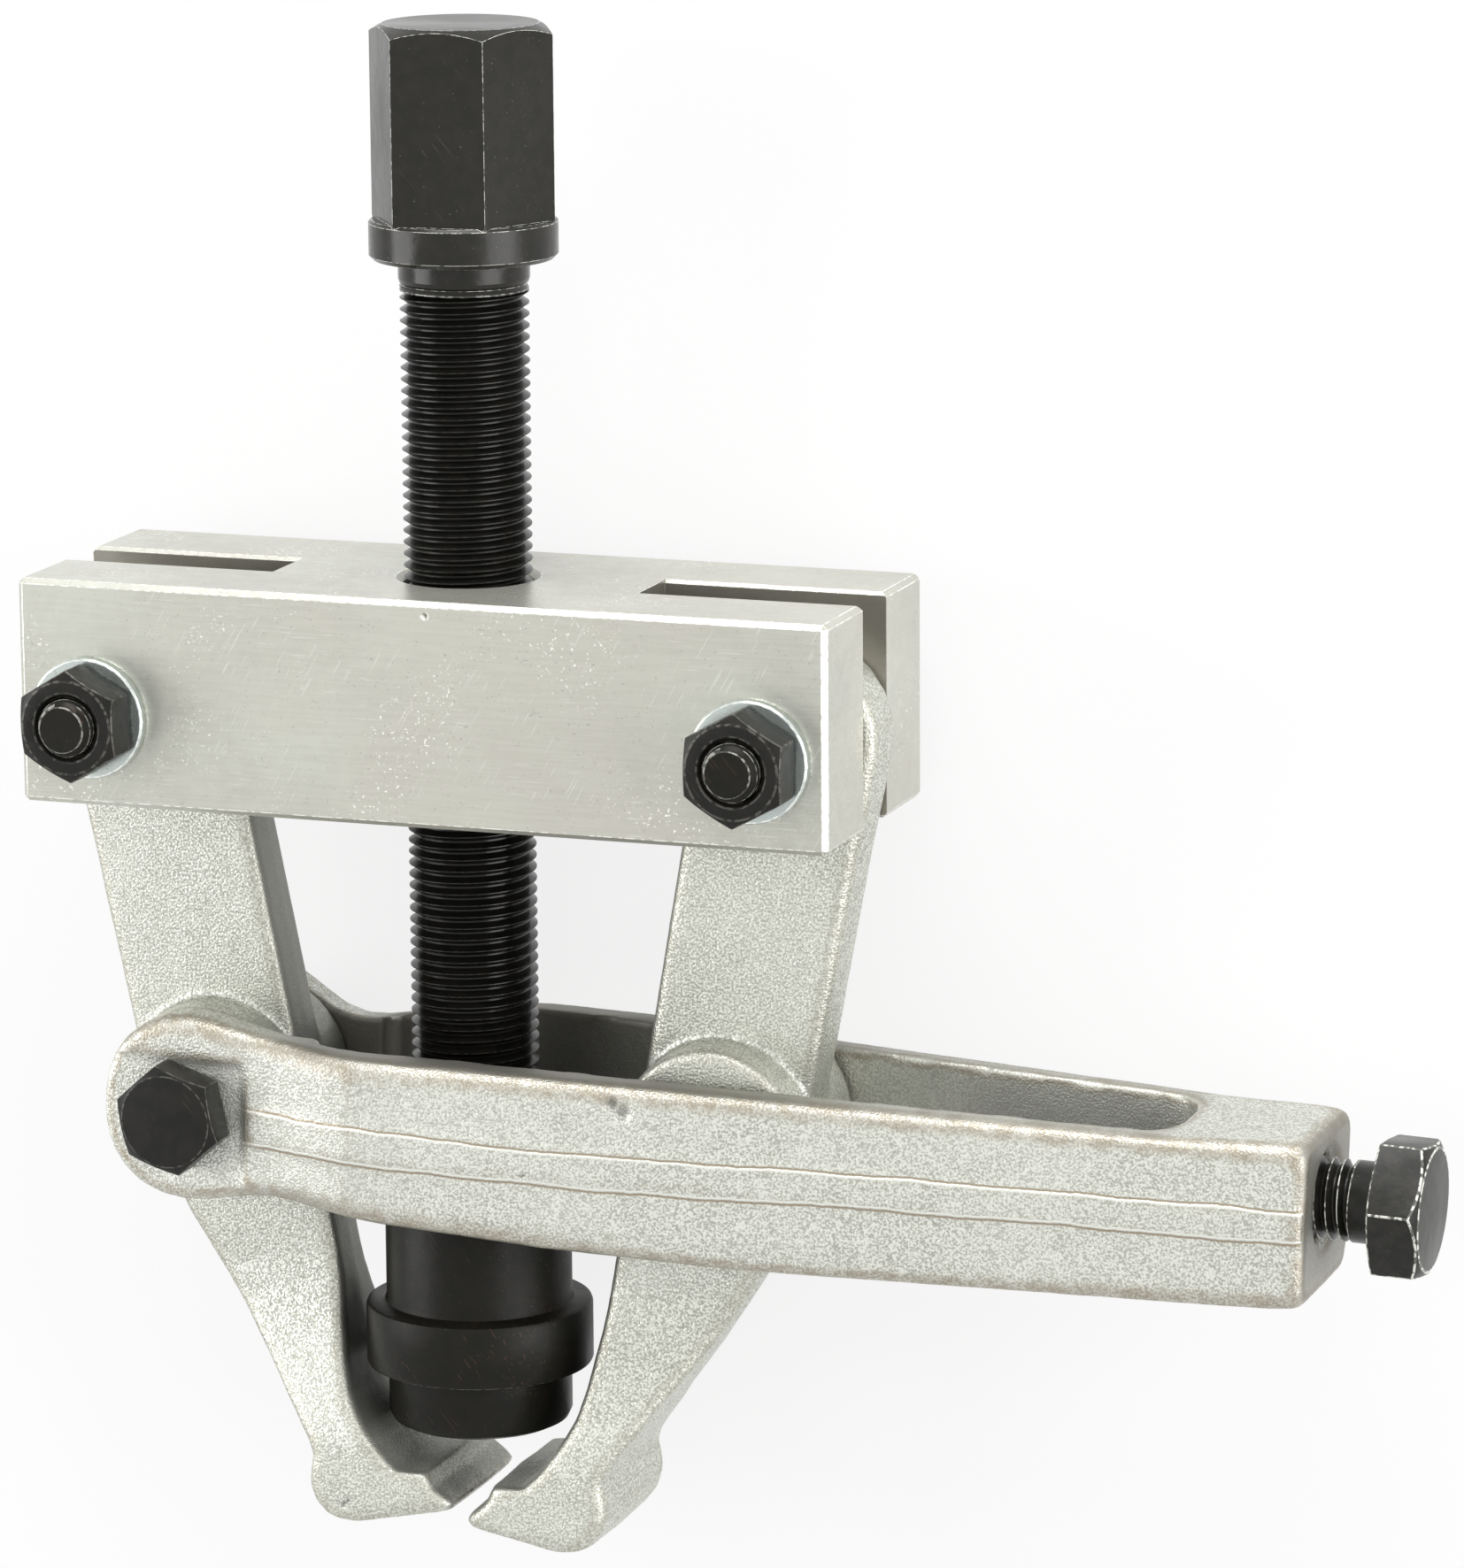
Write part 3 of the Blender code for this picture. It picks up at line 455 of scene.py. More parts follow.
@dataclass(frozen=True)
class ZincFinish:
    """Satin zinc plating over machined steel."""

    name: str
    base: Colour
    deep: Colour
    cloud: Colour
    worn: Colour
    roughness: float
    wear: float
    specks: float
    metal: float = 0.9
    # Painted shade: the colour and share with which the beam's slot walls are darkened.
    slot_shade: Colour = (0.20, 0.185, 0.155)
    slot_shade_share: float = 0.8
    pore: Colour = (0.16, 0.15, 0.14)
    pore_share: float = 0.35
    broad_share: float = 0.72
    cloud_share: float = 0.5
    brushed_share: float = 0.05
    second_turn: float = 2.1
    bump_mm: float = 0.010

    def bare_metal(self, graph: Graph, effects: Effects, place: Socket) -> Socket:
        """Where bare metal shows: rubbed edges, scratches and specks.

        Args:
            graph: The material's graph.
            effects: The shared node groups.
            place: Object coordinates.

        Returns:
            The mask, from 0 to 1.
        """
        edge = graph.attribute("edge")
        wear = put_group(graph, effects.wear, Place=place, Edge=edge, Amount=self.wear)
        first = put_group(graph, effects.scratches, Place=place, Amount=0.18)
        turned = graph.place(self.second_turn)
        second = put_group(graph, effects.scratches, Place=turned, Amount=0.22)
        speck = graph.ramp(graph.noise(place, size_mm=0.26, detail=1.0), low=0.68, high=0.71)
        spread = graph.ramp(graph.noise(place, size_mm=9.0), low=0.46, high=0.66)
        lines = graph.highest(first.outputs["Mask"], second.outputs["Mask"])
        specks = graph.times(spread, self.specks, speck)
        return graph.highest(wear.outputs["Mask"], graph.highest(lines, specks))

    def build(self, effects: Effects) -> bpy.types.Material:
        """The finished material.

        Args:
            effects: The shared node groups.

        Returns:
            A material for plated pieces.
        """
        material, graph, shader = start_material(self.name, self.metal, self.roughness)
        place = graph.place()
        tone = put_group(graph, effects.clouds, Place=place)
        broad, fine = tone.outputs["Broad"], tone.outputs["Fine"]
        bright = self.bare_metal(graph, effects, place)
        pores = graph.ramp(graph.noise(place, size_mm=0.26, detail=1.0), low=0.30, high=0.24)
        brushed = graph.noise(graph.place(stretch=(0.05, 1.0, 1.0)), size_mm=0.30)
        mottle = graph.plus(
            graph.times(broad, self.broad_share), graph.times(fine, 1.0 - self.broad_share)
        )
        hue = graph.ramp(graph.noise(place, size_mm=19.0), low=0.42, high=0.60)
        streak = graph.ramp(brushed, low=0.4, high=0.6)
        colour = graph.blend(mottle, self.deep, self.base)
        colour = graph.blend(graph.times(hue, self.cloud_share), colour, self.cloud)
        colour = graph.blend(graph.times(streak, self.brushed_share), colour, self.worn)
        colour = graph.blend(graph.times(pores, self.pore_share), colour, self.pore)
        colour = graph.blend(bright, colour, self.worn)
        # Painted shade: faces that the beam marks on its slot walls darken towards this colour.
        slot_shade = graph.times(graph.attribute("slot_shade"), self.slot_shade_share)
        graph.feed(shader.inputs["Base Color"], graph.blend(slot_shade, colour, self.slot_shade))
        rough = graph.span(mottle, self.roughness + 0.05, self.roughness - 0.04)
        graph.feed(shader.inputs["Roughness"], graph.minus(rough, graph.times(bright, 0.12)))
        put_bump(graph, shader, graph.plus(graph.times(brushed, 0.3), fine), self.bump_mm)
        return material


@dataclass(frozen=True)
class Seam:
    """A die seam along the stirrup's flanks: a bright crest, partly wear and partly painted
    highlight, beside a dark line, partly dirt and partly painted shade.
    """

    course: tuple[tuple[float, float], ...]
    dirt_and_shade_side: float
    wave: float = 0.32
    crest_at: float = -0.18
    dirt_and_shade_at: float = 0.22
    width: float = 0.36

    def sway(self, graph: Graph, along: Socket) -> Socket:
        """How far the seam wanders to either side of its course.

        Args:
            graph: The material's graph.
            along: Millimetres along the stirrup.

        Returns:
            The wander in millimetres.
        """
        spot = graph.add("ShaderNodeCombineXYZ", X=graph.times(along, MM), Y=self.dirt_and_shade_side)
        broad = graph.minus(graph.noise(spot.outputs[0], size_mm=7.0, detail=1.0), 0.5)
        small = graph.minus(graph.noise(spot.outputs[0], size_mm=1.1, detail=1.0), 0.5)
        return graph.plus(graph.times(broad, 4.0 * self.wave), graph.times(small, self.wave))

    def draw(self, graph: Graph, along: Socket, up: Socket) -> tuple[Socket, Socket, Socket]:
        """The seam's bright crest of wear and painted highlight, its dark line of dirt and painted
        shade, and the side that stands higher.

        Args:
            graph: The material's graph.
            along: Millimetres along the stirrup.
            up: Millimetres above the stirrup's axis.

        Returns:
            Three masks from 0 to 1.
        """
        middle = graph.plus(graph.course(along, self.course), self.sway(graph, along))
        away = graph.times(graph.minus(up, middle), self.dirt_and_shade_side)
        crest = graph.line(away, self.crest_at, self.width)
        dirt_and_shade = graph.line(away, self.dirt_and_shade_at, self.width)
        return crest, dirt_and_shade, graph.ramp(away, low=self.dirt_and_shade_at, high=-self.dirt_and_shade_at)


@dataclass(frozen=True)
class ForgedFinish:
    """A blasted and galvanised forging, with rubbed edges and a brownish tint."""

    name: str
    base: Colour
    bright: Colour
    dark: Colour
    tint: Colour
    tint_share: float
    # Painted shade and smoother skin: the colour that inner walls, bends and trimmed faces are
    # darkened towards.
    smooth_and_shade: Colour
    seams: tuple[Seam, ...] = ()
    metal: float = 0.8
    roughness: float = 0.45
    pit: Colour = (0.05, 0.045, 0.04)
    grain_share: float = 0.85
    cloud_share: float = 0.16
    seam_share: float = 0.9
    grain_depth: float = 0.16

    def add_seams(self, graph: Graph, colour: Socket, height: Socket) -> tuple[Socket, Socket]:
        """Draw the die seams over the colour and the height.

        Args:
            graph: The material's graph.
            colour: The colour so far.
            height: The height so far.

        Returns:
            The colour and the height with the seams.
        """
        flank = graph.attribute("flank")
        turn = Matrix.Rotation(-STIRRUP_TILT, 3, "Z")
        local = graph.add(
            "ShaderNodeMapping",
            Vector=graph.place(),
            Rotation=(0.0, 0.0, -STIRRUP_TILT),
            Location=-(turn @ stirrup_place(0.0, 0.0)),
        )
        axes = graph.add("ShaderNodeSeparateXYZ", Vector=local.outputs["Vector"])
        along = graph.maths("DIVIDE", axes.outputs["X"], MM)
        up = graph.maths("DIVIDE", axes.outputs["Y"], MM)
        raised = []
        for seam in self.seams:
            crest, dirt_and_shade, side = seam.draw(graph, along, up)
            # Painted shade and dirt darken the line beside each seam's step; the crest is
            # brightened partly as wear and partly as painted highlight where the step faces up.
            colour = graph.blend(graph.times(dirt_and_shade, flank, self.seam_share), colour, self.tint)
            colour = graph.blend(graph.times(crest, flank, self.seam_share), colour, self.bright)
            raised.append(side)
        lift = graph.times(*raised, flank, self.seam_share)
        return colour, graph.plus(height, lift)

    def build(self, effects: Effects) -> bpy.types.Material:
        """The finished material.

        Args:
            effects: The shared node groups.

        Returns:
            A material for forgings.
        """
        material, graph, shader = start_material(self.name, self.metal, self.roughness)
        place = graph.place()
        tone = put_group(graph, effects.clouds, Place=place)
        broad, fine = tone.outputs["Broad"], tone.outputs["Fine"]
        smooth_and_shade, edge = graph.attribute("smooth_and_shade"), graph.attribute("edge")
        grain = put_group(graph, effects.grain, Place=place, Smoothness=graph.times(smooth_and_shade, 0.75))
        bright, dark = grain.outputs["Bright"], grain.outputs["Dark"]
        colour = graph.blend(graph.times(bright, self.grain_share), self.base, self.bright)
        colour = graph.blend(graph.times(dark, self.grain_share), colour, self.dark)
        colour = graph.blend(graph.times(broad, self.cloud_share), colour, self.bright)
        rim = graph.times(graph.ramp(edge, low=0.55, high=0.95), graph.span(fine, 0.2, 0.75))
        colour = graph.blend(rim, colour, self.bright)
        near = graph.times(graph.ramp(edge, low=0.03, high=0.3), graph.ramp(edge, 0.95, 0.45))
        brown = graph.times(graph.span(fine, low=0.5, high=1.0), self.tint_share, near)
        colour = graph.blend(brown, colour, self.tint)
        # Painted shade: inner walls and the bend by the eye darken here, as does the smoother
        # trimmed or seated skin.
        smooth = graph.blend(graph.times(dark, 0.6), self.smooth_and_shade, self.dark)
        colour = graph.blend(graph.times(smooth_and_shade, 0.85), colour, smooth)
        height = grain.outputs["Height"]
        if self.seams:
            colour, height = self.add_seams(graph, colour, height)
        colour = graph.blend(graph.times(graph.attribute("pit"), 0.85), colour, self.pit)
        graph.feed(shader.inputs["Base Color"], colour)
        graph.feed(shader.inputs["Roughness"], graph.span(bright, low=0.5, high=0.36))
        put_bump(graph, shader, height, self.grain_depth)
        return material


@dataclass(frozen=True)
class BlackFinish:
    """Oiled black oxide, rubbed bright along its edges."""

    name: str
    base: Colour
    brown: Colour
    worn: Colour
    roughness: float
    wear: float
    turned: float = 0.0
    metal: float = 0.1
    gloss: float = 0.4
    scratched: float = 0.25
    scratch: Colour = (0.13, 0.10, 0.085)
    scratch_share: float = 0.7
    scratch_turn: float = 0.9
    dust_share: float = 0.12
    bump_mm: float = 0.02

    def build(self, effects: Effects) -> bpy.types.Material:
        """The finished material.

        Args:
            effects: The shared node groups.

        Returns:
            A material for blackened pieces.
        """
        material, graph, shader = start_material(self.name, self.metal, self.roughness)
        shader.inputs["Specular IOR Level"].default_value = self.gloss
        place = graph.place()
        tone = put_group(graph, effects.clouds, Place=place)
        edge = graph.attribute("edge")
        wear = put_group(graph, effects.wear, Place=place, Edge=edge, Amount=self.wear)
        turned = graph.place(self.scratch_turn)
        lines = put_group(graph, effects.scratches, Place=turned, Amount=self.scratched)
        dust = graph.ramp(graph.noise(place, size_mm=0.28, detail=1.0), low=0.76, high=0.80)
        bright = graph.highest(wear.outputs["Mask"], graph.times(dust, self.dust_share))
        scratches = graph.times(lines.outputs["Mask"], self.scratch_share)
        colour = graph.blend(tone.outputs["Fine"], self.base, self.brown)
        colour = graph.blend(scratches, colour, self.scratch)
        graph.feed(shader.inputs["Base Color"], graph.blend(bright, colour, self.worn))
        rough = graph.span(tone.outputs["Broad"], self.roughness - 0.05, self.roughness + 0.07)
        graph.feed(shader.inputs["Roughness"], rough)
        rings = graph.noise(graph.place(stretch=(0.02, 1.0, 0.02)), size_mm=0.18)
        height = graph.plus(graph.times(rings, self.turned), tone.outputs["Fine"])
        put_bump(graph, shader, height, self.bump_mm)
        return material


def new_mesh(name: str, body: bmesh.types.BMesh) -> bpy.types.Mesh:
    """Write a bmesh into a new mesh and free it.

    Args:
        name: The mesh's name.
        body: The bmesh.

    Returns:
        The mesh.
    """
    mesh = bpy.data.meshes.new(name)
    body.to_mesh(mesh)
    body.free()
    return mesh


def add_object(name: str, data: bpy.types.ID) -> bpy.types.Object:
    """Put a mesh, a lamp or a camera in the scene.

    Args:
        name: The object's name.
        data: What it shows.

    Returns:
        The new object.
    """
    thing = bpy.data.objects.new(name, data)
    bpy.context.scene.collection.objects.link(thing)
    return thing


def cad_copy(node: str) -> bmesh.types.BMesh:
    """A CAD node's mesh, merged and with its flat faces made whole.

    Args:
        node: The CAD node's name.

    Returns:
        A new bmesh that holds the copy.
    """
    body = bmesh.new()
    body.from_mesh(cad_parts[node].data)
    bmesh.ops.remove_doubles(body, verts=list(body.verts), dist=MESH_WELD)
    bmesh.ops.dissolve_degenerate(body, edges=list(body.edges), dist=SLIVER)
    bmesh.ops.dissolve_limit(
        body, angle_limit=FLAT_WITHIN, verts=list(body.verts), edges=list(body.edges)
    )
    return body


def sharp_edges(body: bmesh.types.BMesh, degrees: float) -> list[bmesh.types.BMEdge]:
    """The edges whose two faces meet at more than an angle.

    Args:
        body: The mesh.
        degrees: The angle.

    Returns:
        The edges, in the mesh's order.
    """
    limit = math.radians(degrees)
    return [
        edge
        for edge in body.edges
        if len(edge.link_faces) == 2 and edge.calc_face_angle(0.0) > limit
    ]


def break_edges(body: bmesh.types.BMesh, width_mm: float, degrees: float = 20.0) -> None:
    """Bevel the sharp edges and mark the new faces as edge.

    Args:
        body: The mesh to work on.
        width_mm: How far the bevel reaches from the edge.
        degrees: The least angle of an edge that is bevelled.
    """
    layer = body.faces.layers.float.get("edge") or body.faces.layers.float.new("edge")
    made = bmesh.ops.bevel(
        body,
        geom=sharp_edges(body, degrees),
        offset=width_mm * MM,
        offset_type="OFFSET",
        segments=2,
        profile=0.5,
        affect="EDGES",
        clamp_overlap=True,
        material=-1,
    )
    for face in made["faces"]:
        face[layer] = 1.0


def keep_side(body: bmesh.types.BMesh, point: Vector, normal: Vector) -> None:
    """Cut a mesh by a plane, keep one side and close the cut.

    Args:
        body: The mesh to cut.
        point: A point of the plane.
        normal: The plane's normal, which points to the side that is kept.
    """
    geometry = list(body.verts) + list(body.edges) + list(body.faces)
    cut = bmesh.ops.bisect_plane(
        body, geom=geometry, dist=ON_PLANE, plane_co=point, plane_no=normal, clear_inner=True
    )
    rim = [item for item in cut["geom_cut"] if isinstance(item, bmesh.types.BMEdge)]
    bmesh.ops.holes_fill(body, edges=rim, sides=0)


def join_into(body: bmesh.types.BMesh, other: bmesh.types.BMesh, lay: Matrix) -> None:
    """Add a mesh to another and free it.

    Args:
        body: The mesh that is added to.
        other: The mesh that is added.
        lay: The matrix that lays it.
    """
    bmesh.ops.transform(other, matrix=lay, verts=list(other.verts))
    mesh = new_mesh("joined", other)
    body.from_mesh(mesh)
    bpy.data.meshes.remove(mesh)


def lay_matrix(axis: Axis, centre: Vector) -> Matrix:
    """The matrix that lays a piece modelled along Z on its own axis.

    Args:
        axis: The direction in which it is laid.
        centre: Where its zero goes.

    Returns:
        The matrix.
    """
    if axis is Axis.BOLT:
        return Matrix.Translation(centre)
    return Matrix.Translation(centre) @ Matrix.Rotation(-math.pi / 2.0, 4, "X")


def spin_profile(
    profile: list[tuple[float, float]], steps: int, rise_mm: float = 0.0
) -> bmesh.types.BMesh:
    """Turn a profile once about Z.

    Args:
        profile: Radius and height of each point, in millimetres.
        steps: How many facets the turn has.
        rise_mm: How far the turn climbs, or 0 for a closed turn.

    Returns:
        The skin, closed on itself where it doesn't climb.
    """
    body = bmesh.new()
    body.faces.layers.float.new("edge")
    points = [body.verts.new((r * MM, 0.0, z * MM)) for r, z in profile]
    edges = [body.edges.new(pair) for pair in zip(points, points[1:])]
    bmesh.ops.spin(
        body,
        geom=points + edges,
        cent=(0.0, 0.0, 0.0),
        axis=(0.0, 0.0, 1.0),
        dvec=(0.0, 0.0, rise_mm * MM / steps),
        angle=math.tau,
        steps=steps,
        use_merge=not rise_mm,
        use_duplicate=False,
    )
    return body


def turn_profile(
    profile: list[tuple[float, float]], steps: int, worn: tuple[int, ...] = ()
) -> bmesh.types.BMesh:
    """A solid of revolution about Z from a profile of radius and height.

    Args:
        profile: Radius and height of each point, in millimetres, top to bottom.
        steps: How many facets a full turn has.
        worn: The numbers of the profile's segments that are marked as edge.

    Returns:
        A closed mesh whose faces point outwards.
    """
    body = spin_profile(profile, steps)
    bmesh.ops.remove_doubles(body, verts=list(body.verts), dist=PROFILE_WELD)
    layer = body.faces.layers.float["edge"]
    for number in worn:
        (inner, outer), (low, high) = map(sorted, zip(*profile[number : number + 2]))
        for face in body.faces:
            middle = face.calc_center_median() / MM
            radius = math.hypot(middle.x, middle.y)
            within = low - BAND_SLACK < middle.z < high + BAND_SLACK
            if within and inner - FACET_SAG < radius < outer + 0.1:
                face[layer] = 1.0
    bmesh.ops.recalc_face_normals(body, faces=list(body.faces))
    return body


@dataclass(frozen=True)
class Thread:
    """A right-hand metric thread on a rod, cut square at both ends.

    The depths, the flats and the crest's rounding are shares of the pitch.
    """

    major: float
    pitch: float
    low: float
    high: float
    chamfer_high: float = 0.0
    chamfer_low: float = 0.0
    steps: int = 44
    depth: float = 0.6134
    root_flat: float = 0.07
    crest_flat: float = 0.035
    round_depth: float = 0.05
    round_width: float = 0.02
    worn_depth: float = 0.06

    def profile(self) -> list[tuple[float, float]]:
        """One pitch of the thread's outline, from one root to the next.

        Returns:
            Radius and height of each point, in millimetres.
        """
        root = self.major - self.depth * self.pitch
        flat = self.root_flat * self.pitch
        crest = self.crest_flat * self.pitch
        shoulder = self.major - self.round_depth * self.pitch
        ease = self.round_width * self.pitch
        middle = self.pitch / 2.0
        return [
            (root, 0.0),
            (root, flat),
            (shoulder, middle - crest - ease),
            (self.major, middle - crest),
            (self.major, middle + crest),
            (shoulder, middle + crest + ease),
            (root, self.pitch - flat),
            (root, self.pitch),
        ]

    def chamfer(self, body: bmesh.types.BMesh) -> None:
        """Turn the rod's ends down to a cone where they have a chamfer.

        Args:
            body: The rod.
        """
        for vert in body.verts:
            radius = math.hypot(vert.co.x, vert.co.y)
            if radius < 0.1 * MM:
                continue
            height = vert.co.z / MM
            limit = radius / MM
            if self.chamfer_high:
                limit = min(limit, self.major - self.chamfer_high + (self.high - height))
            if self.chamfer_low:
                limit = min(limit, self.major - self.chamfer_low + (height - self.low))
            vert.co.x *= limit * MM / radius
            vert.co.y *= limit * MM / radius

    def build(self) -> bmesh.types.BMesh:
        """The threaded rod along Z.

        Returns:
            A closed mesh whose crests are marked as edge.
        """
        turns = math.ceil((self.high - self.low) / self.pitch) + 2
        start = self.low - self.pitch
        turn = spin_profile(self.profile(), self.steps, self.pitch)
        body = bmesh.new()
        for number in range(turns):
            lay = Matrix.Translation((0.0, 0.0, (start + number * self.pitch) * MM))
            join_into(body, turn.copy(), lay)
        turn.free()
        bmesh.ops.remove_doubles(body, verts=list(body.verts), dist=MESH_WELD)
        keep_side(body, Vector((0.0, 0.0, self.low * MM)), Vector((0.0, 0.0, 1.0)))
        keep_side(body, Vector((0.0, 0.0, self.high * MM)), Vector((0.0, 0.0, -1.0)))
        self.chamfer(body)
        bmesh.ops.recalc_face_normals(body, faces=list(body.faces))
        layer = body.faces.layers.float["edge"]
        worn_from = self.major - self.worn_depth * self.pitch
        for face in body.faces:
            middle = face.calc_center_median() / MM
            if math.hypot(middle.x, middle.y) > worn_from:
                face[layer] = 1.0
        return body


@dataclass
class Bench:
    """Where finished meshes become pieces of the puller."""

    materials: dict[str, bpy.types.Material]

    def place(
        self,
        name: str,
        body: bmesh.types.BMesh | bpy.types.Mesh,
        rides_on: str,
        stands_for: str | None,
        finish: str,
        slot: Slot,
        smooth_below: float = 14.0,
    ) -> None:
        """Make a mesh a piece that rides on a CAD body.

        Args:
            name: The piece's name.
            body: The finished mesh, or a bmesh, which is freed.
            rides_on: The CAD body that carries it.
            stands_for: The CAD node that it replaces, or None.
            finish: The name of its material.
            slot: The record's slot named for it; not used.
            smooth_below: Faces that meet at less than this angle are shaded smooth.
        """
        mesh = new_mesh(name, body) if isinstance(body, bmesh.types.BMesh) else body
        mesh.shade_smooth()
        mesh.set_sharp_from_angle(angle=math.radians(smooth_below))
        mesh.materials.clear()
        mesh.materials.append(self.materials[finish])
        piece = add_object(name, mesh)
        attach(piece, rides_on)
        if stands_for:
            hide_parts(stands_for)
        LOG.info("%s: %d faces on %s", name, len(mesh.polygons), rides_on)

    def dress(self, node: str, finish: str) -> None:
        """Give a CAD node that stays in the scene its finish.

        Args:
            node: The CAD node's name.
            finish: The name of its material.
        """
        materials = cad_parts[node].data.materials
        materials.clear()
        materials.append(self.materials[finish])


@dataclass
class Beam:
    """The slotted cross beam with its broken edges and painted shade on its slot walls."""

    edge_break: float = 0.17
    slot_inner: float = 33.0
    slot_half_width: float = 6.9
    wall_turn: float = 0.5
    smooth_below: float = 4.0

    def build(self, bench: Bench) -> None:
        """Make the beam.

        Args:
            bench: Where the pieces are placed.
        """
        body = cad_copy("beam")
        break_edges(body, self.edge_break)
        # Painted shade: the slot walls' faces are marked so that the zinc finish darkens them.
        slot_shade = body.faces.layers.float.new("slot_shade")
        for face in body.faces:
            middle = face.calc_center_median() / MM
            inside = abs(middle.x) > self.slot_inner and abs(middle.z) < self.slot_half_width
            face[slot_shade] = float(inside and abs(face.normal.y) < self.wall_turn)
        bench.place(
            "cross_beam", body, "beam", "beam", "satin_zinc", Slot.ZINC, self.smooth_below
        )


@dataclass
class Spindle:
    """The pressure spindle: hexagon, collar, neck and thread."""

    thread_top: float = 69.0
    thread_bottom: float = -86.6
    major: float = 11.0
    pitch: float = 2.0
    end_chamfer: float = 1.2
    steps: int = 64
    edge_break: float = 0.44
    collar_base: float = 74.1
    neck: float = 11.2
    neck_steps: int = 72
    smooth_below: float = 22.0

    def neck_profile(self) -> list[tuple[float, float]]:
        """The outline of the smooth neck between the collar and the thread.

        Returns:
            Radius and height of each point, in millimetres, top to bottom.
        """
        return [
            (0.0, self.collar_base + 0.3),
            (self.neck, self.collar_base + 0.3),
            (self.neck, self.thread_top + 1.9),
            (self.neck - 0.2, self.thread_top + 1.2),
            (self.neck - 1.4, self.thread_top + 0.1),
            (0.0, self.thread_top + 0.1),
        ]

    def build(self, bench: Bench) -> None:
        """Make the head and the thread.

        Args:
            bench: Where the pieces are placed.
        """
        lay = lay_matrix(Axis.SPINDLE, SPINDLE_ZERO)
        body = cad_copy("spindle")
        cut = Vector((0.0, (BEAM_MIDDLE_Y + self.thread_top - 0.2) * MM, 0.0))
        keep_side(body, cut, Vector((0.0, 1.0, 0.0)))
        break_edges(body, self.edge_break)
        join_into(body, turn_profile(self.neck_profile(), self.neck_steps), lay)
        bench.place("spindle_head", body, "spindle", "spindle", "black_head", Slot.BLACK)
        thread = Thread(
            major=self.major,
            pitch=self.pitch,
            low=self.thread_bottom,
            high=self.thread_top + 0.6,
            chamfer_low=self.end_chamfer,
            steps=self.steps,
        )
        body = thread.build()
        bmesh.ops.transform(body, matrix=lay, verts=list(body.verts))
        bench.place(
            "spindle_thread", body, "spindle", None, "black_thread", Slot.BLACK, self.smooth_below
        )


@dataclass
class ThrustPiece:
    """The turned pressure foot under the spindle."""

    sleeve: float = 16.2
    flange: float = 19.8
    nose: float = 16.0
    bore: float = 9.9
    steps: int = 96
    worn: tuple[int, ...] = (14, 15)
    smooth_below: float = 30.0

    def profile(self) -> list[tuple[float, float]]:
        """The turned outline.

        Returns:
            Radius and height of each point, in millimetres, top to bottom.
        """
        return [
            (0.0, -112.6),
            (self.bore, -112.6),
            (self.bore, -89.0),
            (self.bore + 0.9, -88.1),
            (self.sleeve - 1.0, -88.0),
            (self.sleeve - 0.3, -88.3),
            (self.sleeve, -89.0),
            (self.sleeve, -107.2),
            (self.sleeve + 0.3, -108.1),
            (self.sleeve + 1.0, -108.4),
            (self.flange - 0.9, -108.4),
            (self.flange - 0.26, -108.66),
            (self.flange, -109.3),
            (self.flange, -118.9),
            (self.flange - 0.25, -119.4),
            (self.flange - 0.7, -119.6),
            (self.nose + 0.5, -119.6),
            (self.nose, -120.1),
            (self.nose, -128.1),
            (self.nose - 0.6, -129.4),
            (self.nose - 2.0, -130.1),
            (0.0, -130.1),
        ]

    def build(self, bench: Bench) -> None:
        """Make the thrust piece and dress the parts inside it.

        Args:
            bench: Where the pieces are placed.
        """
        body = turn_profile(self.profile(), self.steps, self.worn)
        lay = lay_matrix(Axis.SPINDLE, SPINDLE_ZERO)
        bmesh.ops.transform(body, matrix=lay, verts=list(body.verts))
        node = "thrust_piece"
        bench.place(
            "thrust_foot", body, node, node, "black_turned", Slot.BLACK, self.smooth_below
        )
        bench.dress("thrust_ball", "ball_steel")
        bench.dress("retaining_ring", "spring_wire")


@dataclass
class HexFastener:
    """A nut or washer whose edges are rubbed by wrenches."""

    node: str
    body: str
    finish: str
    slot: Slot
    edge_break: float = 0.22

    def build(self, bench: Bench) -> None:
        """Make the fastener.

        Args:
            bench: Where the pieces are placed.
        """
        body = cad_copy(self.node)
        break_edges(body, self.edge_break)
        name = self.node + "_finished"
        bench.place(name, body, self.body, self.node, self.finish, self.slot)


